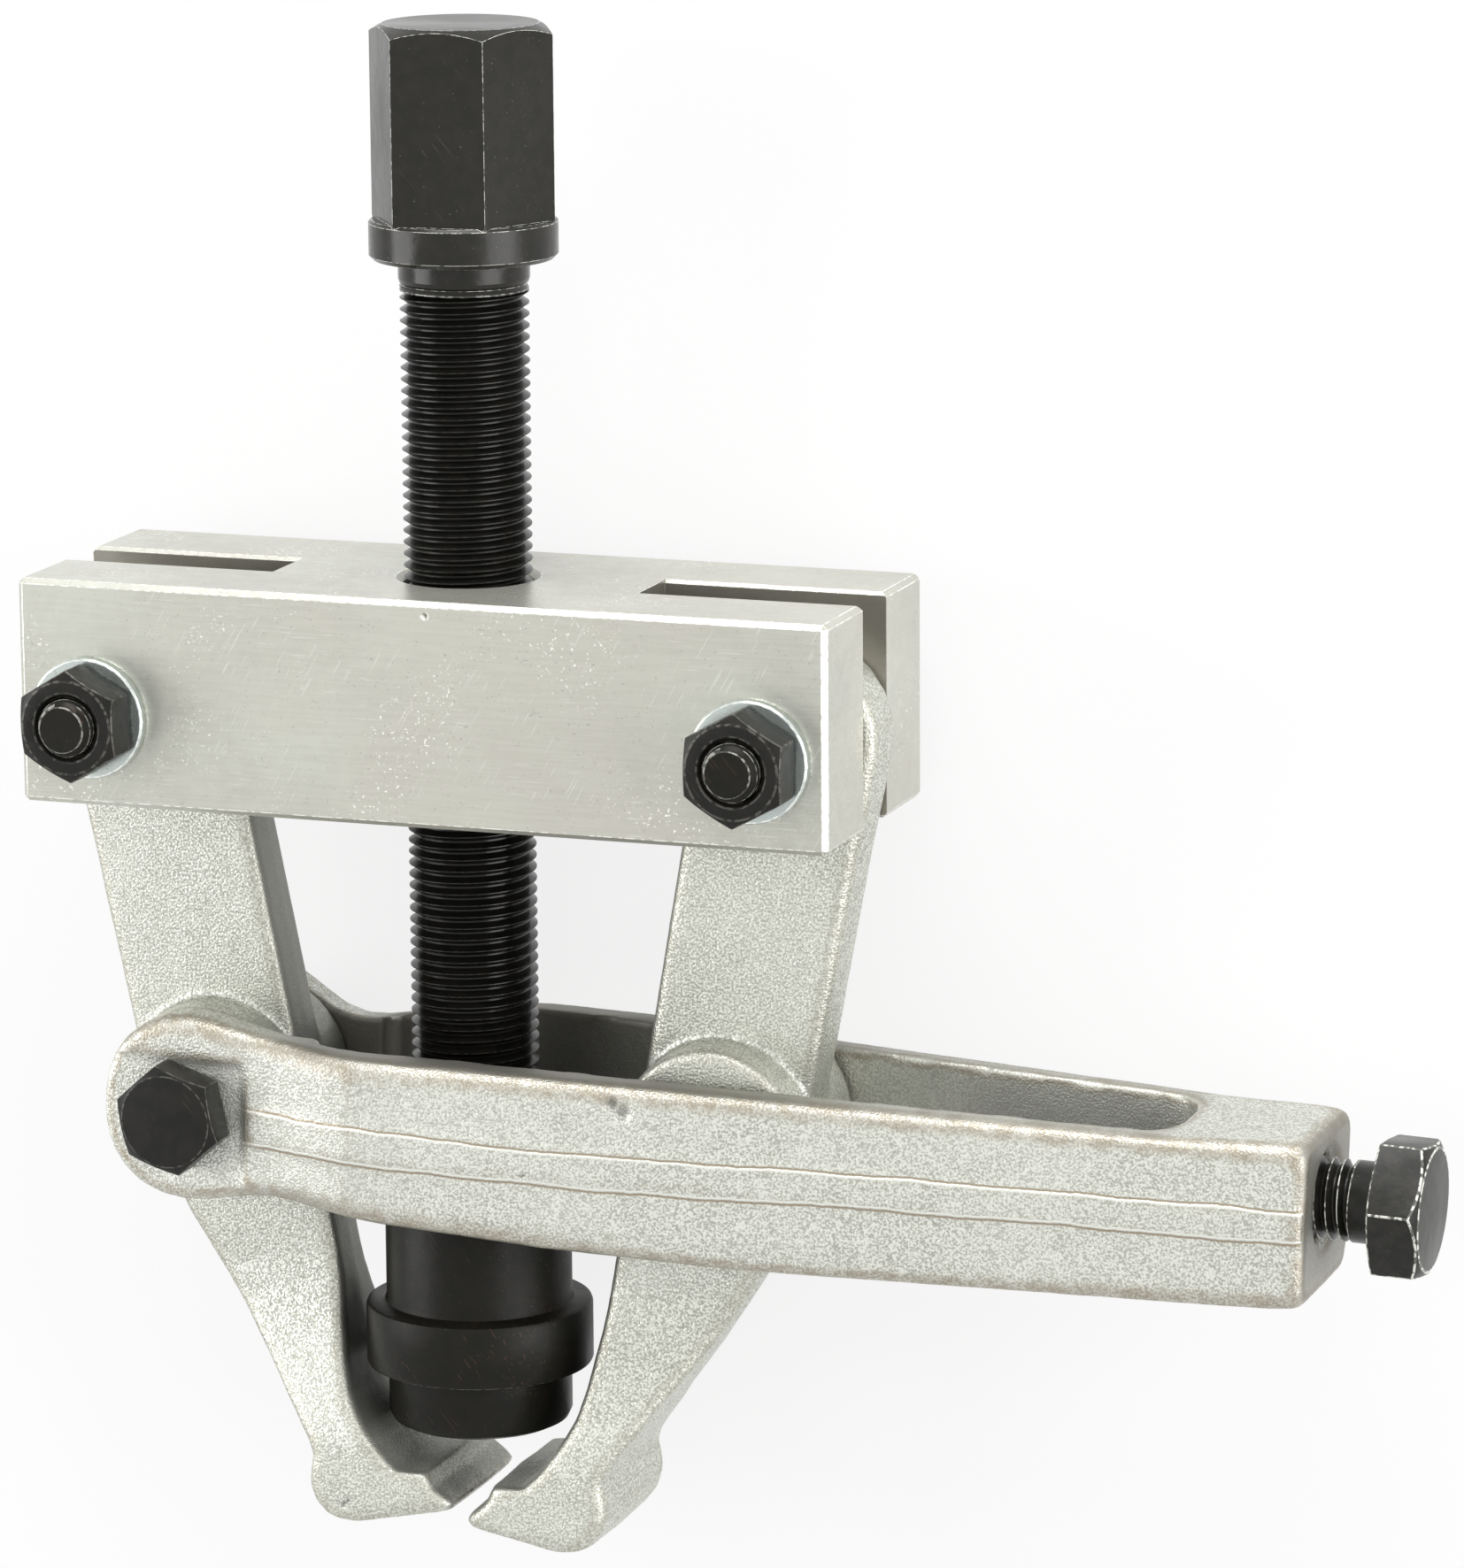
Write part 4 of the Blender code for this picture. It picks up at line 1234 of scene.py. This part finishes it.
@dataclass
class ThreadedBolt:
    """An M10 hexagon bolt with a rolled thread at its end."""

    node: str
    body: str
    centre: Vector
    points_to: float
    thread_length: float
    finish: str = "black_bolt"
    edge_break: float = 0.2
    major: float = 4.95
    pitch: float = 1.5
    end_chamfer: float = 1.1
    tip_wear: float = 0.9
    tip_reach: float = 0.45
    tip_flat: float = 0.97
    smooth_below: float = 20.0

    def build(self, bench: Bench) -> None:
        """Make the head, shank and threaded end.

        Args:
            bench: Where the pieces are placed.
        """
        low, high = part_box(self.node)
        tip = (high.z if self.points_to > 0 else low.z) / MM
        root = tip - self.points_to * self.thread_length
        body = cad_copy(self.node)
        cut = Vector((0.0, 0.0, (root + self.points_to) * MM))
        keep_side(body, cut, Vector((0.0, 0.0, -self.points_to)))
        break_edges(body, self.edge_break)
        thread = Thread(
            major=self.major,
            pitch=self.pitch,
            low=min(root, tip),
            high=max(root, tip),
            chamfer_high=self.end_chamfer if self.points_to > 0 else 0.0,
            chamfer_low=self.end_chamfer if self.points_to < 0 else 0.0,
        )
        join_into(body, thread.build(), lay_matrix(Axis.BOLT, self.centre))
        layer = body.faces.layers.float["edge"]
        for face in body.faces:
            gap = abs(face.calc_center_median().z / MM - tip)
            if gap < self.tip_reach and abs(face.normal.z) < self.tip_flat:
                face[layer] = self.tip_wear
        name = self.node + "_finished"
        smooth = self.smooth_below
        bench.place(name, body, self.body, self.node, self.finish, Slot.BLACK, smooth)


@dataclass
class ClampScrew:
    """The clamp screw at the stirrup's free end."""

    direction: Vector
    head_seat: Vector
    neck_length: float = 4.4
    length: float = 80.0
    major: float = 6.95
    pitch: float = 2.0
    end_chamfer: float = 1.3
    neck_chamfer: float = 0.6
    steps: int = 56
    edge_break: float = 0.4
    smooth_below: float = 20.0

    def build(self, bench: Bench) -> None:
        """Make the head with its neck, and the thread.

        Args:
            bench: Where the pieces are placed.
        """
        body = cad_copy("clamp_screw")
        cut = self.head_seat - self.direction * (self.neck_length * MM)
        keep_side(body, cut, self.direction)
        break_edges(body, self.edge_break)
        thread = Thread(
            major=self.major,
            pitch=self.pitch,
            low=-self.length,
            high=self.neck_chamfer - self.neck_length,
            chamfer_low=self.end_chamfer,
            chamfer_high=self.neck_chamfer,
            steps=self.steps,
        )
        turn = Vector((0.0, 0.0, 1.0)).rotation_difference(self.direction).to_matrix().to_4x4()
        join_into(body, thread.build(), Matrix.Translation(self.head_seat) @ turn)
        node, smooth = "clamp_screw", self.smooth_below
        bench.place(node + "_finished", body, node, node, "black_clamp", Slot.BLACK, smooth)


@dataclass(frozen=True)
class Dent:
    """A small hollow struck or left in a forging, its place in the row's frame."""

    place: tuple[float, float, float]
    radius: float
    depth: float

    def press(self, points: np.ndarray, normals: np.ndarray) -> np.ndarray:
        """Move the points near the dent inwards.

        Args:
            points: The mesh's points, which are changed.
            normals: Their normals.

        Returns:
            How deep in the dent each point lies, from 0 to 1.
        """
        gap = np.linalg.norm(points / MM - np.array(self.place), axis=1) / self.radius
        share = np.clip(1.0 - gap * gap, 0.0, 1.0)
        points -= normals * (share * self.depth * MM)[:, None]
        return share


@dataclass
class Forging:
    """A forged piece: its CAD form given soft corners and an uneven skin.

    The ripples are noise waves a metre and the share of the waviness that each has.
    """

    node: str
    name: str
    body: str
    finish: str
    marks: Callable[[np.ndarray, np.ndarray], Marks]
    voxel: float = 0.52
    passes: int = 3
    waviness: float = 0.06
    ripples: tuple[tuple[float, float], ...] = ((160.0, 1.0), (520.0, 0.5))
    dents: tuple[Dent, ...] = ()
    smooth_below: float = 179.0

    def remeshed(self) -> bpy.types.Mesh:
        """The CAD node's copy as an even skin of small faces.

        Returns:
            A new mesh.
        """
        body = cad_copy(self.node)
        bmesh.ops.triangulate(body, faces=list(body.faces))
        mesh = new_mesh(self.node + "_copy", body)
        holder = add_object(self.node + "_copy", mesh)
        step = holder.modifiers.new("skin", "REMESH")
        step.mode = "VOXEL"
        step.voxel_size = self.voxel * MM
        step.use_smooth_shade = True
        graph = bpy.context.evaluated_depsgraph_get()
        skin = bpy.data.meshes.new_from_object(holder.evaluated_get(graph))
        bpy.data.objects.remove(holder, do_unlink=True)
        bpy.data.meshes.remove(mesh)
        return skin

    def softened(self, skin: bpy.types.Mesh) -> bpy.types.Mesh:
        """Round the corners as a forging's are.

        Args:
            skin: The even skin, which is removed.

        Returns:
            The rounded mesh, under the piece's name.
        """
        body = bmesh.new()
        body.from_mesh(skin)
        axes = dict.fromkeys(("use_axis_x", "use_axis_y", "use_axis_z"), True)
        for _ in range(self.passes):
            bmesh.ops.smooth_vert(body, verts=list(body.verts), factor=0.5, **axes)
        bpy.data.meshes.remove(skin)
        return new_mesh(self.name, body)

    def mark(self, mesh: bpy.types.Mesh) -> None:
        """Roughen the skin and write how far each point is an outer edge.

        Args:
            mesh: The rounded mesh.
        """
        count = len(mesh.vertices)
        points, normals = np.empty((2, count * 3))
        mesh.vertices.foreach_get("co", points)
        mesh.vertices.foreach_get("normal", normals)
        points, normals = points.reshape(-1, 3), normals.reshape(-1, 3)
        pairs = np.empty(len(mesh.edges) * 2, np.int64)
        mesh.edges.foreach_get("vertices", pairs)
        values = {"edge": convexity(points, normals, pairs.reshape(-1, 2))}
        values |= {"pit": np.zeros(count), **self.marks(points, normals)}
        rise = sum(
            share * np.array([noise.noise(Vector(point) * rate) for point in points])
            for rate, share in self.ripples
        )
        points += normals * (rise * self.waviness * MM)[:, None]
        for dent in self.dents:
            values["pit"] = np.maximum(values["pit"], dent.press(points, normals))
        for name, value in values.items():
            layer = mesh.attributes.new(name, "FLOAT", "POINT")
            layer.data.foreach_set("value", value.astype(np.float32))
        mesh.vertices.foreach_set("co", points.astype(np.float32).ravel())
        mesh.update()

    def build(self, bench: Bench) -> None:
        """Make the forging.

        Args:
            bench: Where the pieces are placed.
        """
        mesh = self.softened(self.remeshed())
        self.mark(mesh)
        smooth = self.smooth_below
        bench.place(self.name, mesh, self.body, self.node, self.finish, Slot.FORGING, smooth)


def convexity(
    points: np.ndarray, normals: np.ndarray, pairs: np.ndarray, full: float = 0.12
) -> np.ndarray:
    """How strongly each point stands out from its neighbours, from 0 to 1.

    Args:
        points: The mesh's points.
        normals: Their normals.
        pairs: The two ends of each edge.
        full: The rise that counts as 1, as a share of an edge's mean length.

    Returns:
        One value a point, spread a little over its neighbours.
    """
    first, second = pairs[:, 0], pairs[:, 1]
    degree = np.bincount(pairs.ravel(), minlength=len(points)).clip(1)

    def spread(values: np.ndarray) -> np.ndarray:
        """The mean of each point's neighbours.

        Args:
            values: One value a point.

        Returns:
            One mean a point.
        """
        total = np.bincount(first, values[second], len(points))
        total += np.bincount(second, values[first], len(points))
        return total / degree

    middle = np.stack([spread(points[:, axis]) for axis in range(3)], axis=1)
    length = np.linalg.norm(points[first] - points[second], axis=1).mean()
    rise = ((points - middle) * normals).sum(axis=1) / length
    for _ in range(2):
        rise = 0.5 * rise + 0.5 * spread(rise)
    return np.clip(rise / full, 0.0, 1.0)


def stirrup_place(along: float, up: float, out: float = 0.0) -> Vector:
    """A point of the stirrup's own drawing in the row's frame.

    Args:
        along: Millimetres from the pivot towards the clamp screw.
        up: Millimetres above the stirrup's axis.
        out: Millimetres out of the front face.

    Returns:
        The point, in metres.
    """
    x = STIRRUP_PIVOT[0] + along * math.cos(STIRRUP_TILT) - up * math.sin(STIRRUP_TILT)
    y = STIRRUP_PIVOT[1] + along * math.sin(STIRRUP_TILT) + up * math.cos(STIRRUP_TILT)
    return Vector((x, y, out)) * MM


def climb(values: np.ndarray, start: float, full: float) -> np.ndarray:
    """A straight climb from 0 at start to 1 at full, held level outside them."""
    return np.clip((values - start) / (full - start), 0.0, 1.0)


def leg_marks(points: np.ndarray, normals: np.ndarray) -> Marks:
    """Where a leg's skin is smoother, at the claw's seat, and where painted shade darkens its inner
    side, more so towards the claw.

    Args:
        points: The mesh's points.
        normals: Their normals.

    Returns:
        One value a point, by attribute name.
    """
    height = points[:, 1] / MM
    inward = climb(-np.sign(points[:, 0]) * normals[:, 0], 0.3125, 0.9375)
    low = climb(height, -212.0, -224.0)
    seat = climb(height, -243.0, -247.0) * climb(normals[:, 1], 0.1875, 0.8125)
    # Painted shade on the leg's inner side, darker towards the claw.
    inner_wall_shade = inward * (0.8 + 0.2 * low) * (1.0 - seat)
    return {"smooth_and_shade": np.maximum(inner_wall_shade, seat * 0.5)}


def stirrup_marks(points: np.ndarray, normals: np.ndarray) -> Marks:
    """Where the stirrup's skin is smooth or darkened by painted shade, on the inner walls and at
    the bend by the eye, and which faces are its outer flanks.

    Args:
        points: The mesh's points.
        normals: Their normals.

    Returns:
        One value a point, by attribute name.
    """
    along = (points[:, 0] / MM) - STIRRUP_PIVOT[0]
    depth = np.abs(points[:, 2]) / MM
    outward = np.sign(points[:, 2]) * normals[:, 2]
    inner = climb(-outward, 0.0, 0.625) * (depth < 24.5)
    end = climb(along, 197.0, 197.8) * climb(normals[:, 0], 0.0, 0.5)
    level = climb(normals[:, 1], 0.85, 0.85 + 1.0 / 12.0) * climb(along, 16.0, 24.0)
    level *= climb(along, 176.0, 172.0) * np.maximum(climb(along, 150.0, 90.0), 0.45)
    # Painted shade on the bend by the eye and on the arms' inner walls.
    bend_shade = climb(outward, 0.0, 0.5) * climb(np.abs(along - 24.0), 20.0, 0.0)
    inner_wall_shade = inner * np.maximum(climb(along, 120.0, 60.0), 0.25)
    flank = climb(outward, 1.6 / 3.0, 2.6 / 3.0) * climb(along, 10.0, 16.0)
    return {"smooth_and_shade": np.maximum.reduce((inner_wall_shade, end * 0.8, level, bend_shade * 0.3)), "flank": flank}


@dataclass(frozen=True)
class Camera:
    """The camera that the photograph was fitted with, in the drawing's own axes."""

    azimuth: float = 0.3422854728
    elevation: float = 0.2133684735
    roll: float = -0.0075459533
    distance: float = 1237.38971777
    focal: float = 8142.1068439
    centre: tuple[float, float] = (827.15443, 885.93523)
    aim: tuple[float, float] = (44.68523, -17.30750)
    size: tuple[float, float] = (1654.0, 1772.0)
    sensor: float = 36.0

    def build(self) -> None:
        """Make the camera and hand it to the scene."""
        ca, sa = math.cos(self.azimuth), math.sin(self.azimuth)
        ce, se = math.cos(self.elevation), math.sin(self.elevation)
        back = Vector((sa * ce, se, ca * ce))
        right = Vector((ca, 0.0, -sa))
        up = Vector((-sa * se, ce, -ca * se))
        side = math.cos(self.roll) * right + math.sin(self.roll) * up
        rise = -math.sin(self.roll) * right + math.cos(self.roll) * up
        aim = Vector((self.aim[0] * ca, self.aim[1] + BEAM_MIDDLE_Y, -self.aim[0] * sa))
        place = (aim + back * self.distance) * MM
        data = bpy.data.cameras.new("photograph")
        camera = add_object("photograph", data)
        turn = Matrix((side, rise, back)).transposed().to_4x4()
        camera.matrix_world = Matrix.Translation(place) @ turn
        width, height = self.size
        data.sensor_fit = "AUTO"
        data.sensor_width = self.sensor
        data.lens = self.sensor * self.focal / height
        data.shift_x = -(self.centre[0] - width / 2.0) / height
        data.shift_y = (self.centre[1] - height / 2.0) / height
        data.clip_start = 0.01
        data.clip_end = 50.0
        bpy.context.scene.camera = camera


@dataclass(frozen=True)
class Lamp:
    """A square soft lamp that looks at the puller's middle."""

    name: str
    place: tuple[float, float, float]
    size: float
    power: float
    looks_at: tuple[float, float, float] = (0.03, -0.13, 0.0)

    def build(self) -> None:
        """Hang the lamp."""
        data = bpy.data.lights.new(self.name, "AREA")
        data.shape = "SQUARE"
        data.size = self.size
        data.energy = self.power
        lamp = add_object(self.name, data)
        lamp.location = self.place
        lamp.rotation_mode = "QUATERNION"
        aim = Vector(self.looks_at) - Vector(self.place)
        lamp.rotation_quaternion = aim.to_track_quat("-Z", "Y")


@dataclass
class Studio:
    """A pale floor, soft lamps and an even white surround."""

    floor_z: float = -34.2
    floor_half: float = 6.0
    floor_colour: Colour = (0.86, 0.86, 0.86)
    floor_glow: float = 0.8
    surround: float = 0.55
    lamps: tuple[Lamp, ...] = (
        Lamp("top_lamp", (0.05, 0.95, 0.30), size=0.8, power=13.0),
        Lamp("left_lamp", (-0.85, -0.05, 0.55), size=0.6, power=5.0),
        Lamp("right_lamp", (0.95, -0.10, 0.35), size=0.7, power=7.0),
    )

    def build_floor(self) -> None:
        """A wide pale floor that shows white and keeps a soft shadow."""
        body = bmesh.new()
        bmesh.ops.create_grid(body, x_segments=1, y_segments=1, size=self.floor_half)
        bmesh.ops.translate(body, verts=list(body.verts), vec=(0.0, 0.0, self.floor_z * MM))
        floor = add_object("floor", new_mesh("floor", body))
        material, graph, shader = start_material("pale_floor", 0.0, 0.9)
        shader.inputs["Base Color"].default_value = (*self.floor_colour, 1.0)
        shader.inputs["Specular IOR Level"].default_value = 0.1
        glow = graph.add("ShaderNodeEmission", Strength=1.0)
        path = graph.add("ShaderNodeLightPath")
        seen = graph.highest(path.outputs["Is Camera Ray"], path.outputs["Is Glossy Ray"])
        mix = graph.add("ShaderNodeMixShader")
        graph.feed(mix.inputs[0], graph.times(seen, self.floor_glow))
        graph.feed(mix.inputs[1], shader.outputs[0])
        graph.feed(mix.inputs[2], glow.outputs[0])
        output = material.node_tree.nodes["Material Output"]
        graph.feed(output.inputs["Surface"], mix.outputs[0])
        floor.data.materials.append(material)

    def build_surround(self) -> None:
        """A white surround that lights the puller gently."""
        world = bpy.data.worlds.new("surround")
        bpy.context.scene.world = world
        world.use_nodes = True
        graph = Graph(world.node_tree)
        path = graph.add("ShaderNodeLightPath")
        rays = ("Is Camera Ray", "Is Glossy Ray", "Is Transmission Ray")
        seen = graph.highest(*(path.outputs[ray] for ray in rays))
        background = world.node_tree.nodes["Background"]
        background.inputs["Color"].default_value = (1.0, 1.0, 1.0, 1.0)
        graph.feed(background.inputs["Strength"], graph.span(seen, self.surround, 1.0))

    def build(self) -> None:
        """Set up the floor, the surround and the lamps."""
        self.build_floor()
        self.build_surround()
        for lamp in self.lamps:
            lamp.build()
        bpy.context.scene.view_settings.view_transform = "Standard"


def zinc_finishes() -> tuple[ZincFinish, ...]:
    """The plated pieces' finishes, and the ball's.

    Returns:
        The finishes.
    """
    beam = ZincFinish(
        name="satin_zinc",
        base=(0.55, 0.555, 0.49),
        deep=(0.46, 0.46, 0.41),
        cloud=(0.51, 0.49, 0.43),
        worn=(0.95, 0.95, 0.88),
        roughness=0.32,
        wear=0.85,
        specks=1.0,
        metal=0.62,
    )
    washer = ZincFinish(
        name="washer_zinc",
        base=(0.60, 0.65, 0.62),
        deep=(0.50, 0.56, 0.54),
        cloud=(0.50, 0.58, 0.58),
        worn=(0.92, 0.94, 0.90),
        roughness=0.26,
        wear=0.7,
        specks=0.3,
    )
    ball = ZincFinish(
        name="ball_steel",
        base=(0.60, 0.61, 0.62),
        deep=(0.5, 0.51, 0.52),
        cloud=(0.55, 0.56, 0.57),
        worn=(0.9, 0.9, 0.9),
        roughness=0.16,
        wear=0.2,
        specks=0.1,
    )
    return beam, washer, ball


def forged_finishes() -> tuple[ForgedFinish, ...]:
    """The legs' finish and the stirrup's, which has a die seam on either side.

    Returns:
        The finishes.
    """
    upper = ((-14.0, 2.4), (39.0, 1.9), (78.0, 1.6), (128.0, 2.8), (199.0, 3.5))
    lower = ((-14.0, -3.7), (50.0, -4.1), (78.0, -4.4), (128.0, -2.6), (199.0, -1.9))
    legs = ForgedFinish(
        name="leg_forging",
        base=(0.51, 0.52, 0.465),
        bright=(0.76, 0.77, 0.70),
        dark=(0.34, 0.34, 0.30),
        tint=(0.40, 0.365, 0.29),
        tint_share=0.35,
        smooth_and_shade=(0.13, 0.13, 0.12),
    )
    stirrup = ForgedFinish(
        name="stirrup_forging",
        base=(0.54, 0.545, 0.49),
        bright=(0.77, 0.78, 0.72),
        dark=(0.35, 0.35, 0.31),
        tint=(0.29, 0.235, 0.165),
        tint_share=0.65,
        smooth_and_shade=(0.20, 0.19, 0.165),
        seams=(Seam(upper, 1.0), Seam(lower, -1.0)),
    )
    return legs, stirrup


def black_finishes() -> tuple[BlackFinish, ...]:
    """The blackened pieces' finishes, and the wire ring's.

    Returns:
        The finishes.
    """
    head = BlackFinish(
        name="black_head",
        base=(0.0095, 0.0095, 0.0068),
        brown=(0.015, 0.013, 0.010),
        worn=(0.74, 0.74, 0.68),
        roughness=0.24,
        wear=0.92,
        gloss=0.34,
    )
    thread = BlackFinish(
        name="black_thread",
        base=(0.005, 0.005, 0.0045),
        brown=(0.008, 0.0075, 0.006),
        worn=(0.022, 0.022, 0.018),
        roughness=0.24,
        wear=0.6,
        gloss=0.28,
        scratched=0.0,
    )
    turned = BlackFinish(
        name="black_turned",
        base=(0.0085, 0.0085, 0.0065),
        brown=(0.0115, 0.0105, 0.008),
        worn=(0.30, 0.30, 0.27),
        roughness=0.40,
        wear=0.66,
        turned=0.7,
        gloss=0.16,
        scratched=0.5,
        scratch=(0.10, 0.05, 0.035),
    )
    bolt = BlackFinish(
        name="black_bolt",
        base=(0.0085, 0.0085, 0.007),
        brown=(0.013, 0.012, 0.010),
        worn=(0.085, 0.082, 0.072),
        roughness=0.34,
        wear=0.62,
        gloss=0.24,
    )
    clamp = BlackFinish(
        name="black_clamp",
        base=(0.013, 0.013, 0.0105),
        brown=(0.022, 0.021, 0.018),
        worn=(0.62, 0.62, 0.57),
        roughness=0.30,
        wear=0.72,
        gloss=0.24,
    )
    wire = BlackFinish(
        name="spring_wire",
        base=(0.12, 0.12, 0.12),
        brown=(0.18, 0.18, 0.17),
        worn=(0.5, 0.5, 0.5),
        roughness=0.3,
        wear=0.3,
        metal=0.9,
    )
    return head, thread, turned, bolt, clamp, wire


def build_materials(effects: Effects) -> dict[str, bpy.types.Material]:
    """Every finish of the puller, by name.

    Args:
        effects: The shared node groups.

    Returns:
        The materials.
    """
    finishes = zinc_finishes() + forged_finishes() + black_finishes()
    return {finish.name: finish.build(effects) for finish in finishes}


def build_fasteners(bench: Bench) -> None:
    """Make the bolts, nuts and washers of the three hinges.

    Args:
        bench: Where the pieces are placed.
    """
    for side, label in ((-1.0, "left"), (1.0, "right")):
        centre = Vector((side * BEAM_BOLT[0], BEAM_BOLT[1], 0.0)) * MM
        ThreadedBolt(
            label + "_beam_bolt",
            "beam",
            centre,
            points_to=1.0,
            thread_length=14.0,
            finish="black_turned",
        ).build(bench)
        HexFastener(label + "_beam_nut", "beam", "black_bolt", Slot.BLACK).build(bench)
        for face in ("front", "rear"):
            node = f"{label}_{face}_washer"
            HexFastener(node, "beam", "washer_zinc", Slot.ZINC, edge_break=0.12).build(bench)
    pivot = stirrup_place(0.0, 0.0)
    ThreadedBolt(
        "stirrup_pivot_bolt", "stirrup", pivot, points_to=-1.0, thread_length=12.0
    ).build(bench)
    HexFastener("stirrup_pivot_nut", "stirrup", "black_bolt", Slot.BLACK).build(bench)


def build_forgings(bench: Bench) -> None:
    """Make both legs and the stirrup.

    Args:
        bench: Where the pieces are placed.
    """
    leg_pits = (
        Dent((-19.8, -257.3, 16.2), radius=0.62, depth=0.6),
        Dent((-18.9, -256.7, 16.2), radius=0.5, depth=0.5),
        Dent((-40.7, -222.4, 6.0), radius=0.5, depth=0.4),
        Dent((-38.0, -222.3, 6.0), radius=0.5, depth=0.4),
    )
    arm_pits = tuple(
        Dent(tuple(stirrup_place(*place) / MM), radius, depth)
        for place, radius, depth in (
            ((81.6, 9.6, 25.2), 2.0, 1.3),
            ((79.8, 10.9, 25.0), 1.7, 1.1),
            ((64.5, -2.8, 25.9), 0.55, 0.4),
            ((90.0, 5.7, 24.4), 0.5, 0.4),
        )
    )
    for side, dents in (("left", leg_pits), ("right", ())):
        node, name = side + "_leg", side + "_claw_leg"
        Forging(node, name, node, "leg_forging", leg_marks, dents=dents).build(bench)
    node, name = "stirrup", "clamping_stirrup"
    Forging(
        node, name, node, "stirrup_forging", stirrup_marks, voxel=0.66, dents=arm_pits
    ).build(bench)


def main() -> None:
    """Build the puller's looks, the studio and the camera."""
    logging.basicConfig(level=logging.INFO, format="%(message)s")
    Camera().build()
    Studio().build()
    bench = Bench(build_materials(Effects()))
    Beam().build(bench)
    Spindle().build(bench)
    ThrustPiece().build(bench)
    build_fasteners(bench)
    direction = Vector((math.cos(STIRRUP_TILT), math.sin(STIRRUP_TILT), 0.0))
    ClampScrew(direction, stirrup_place(*CLAMP_HEAD_SEAT)).build(bench)
    build_forgings(bench)


if __name__ == "__main__":
    main()
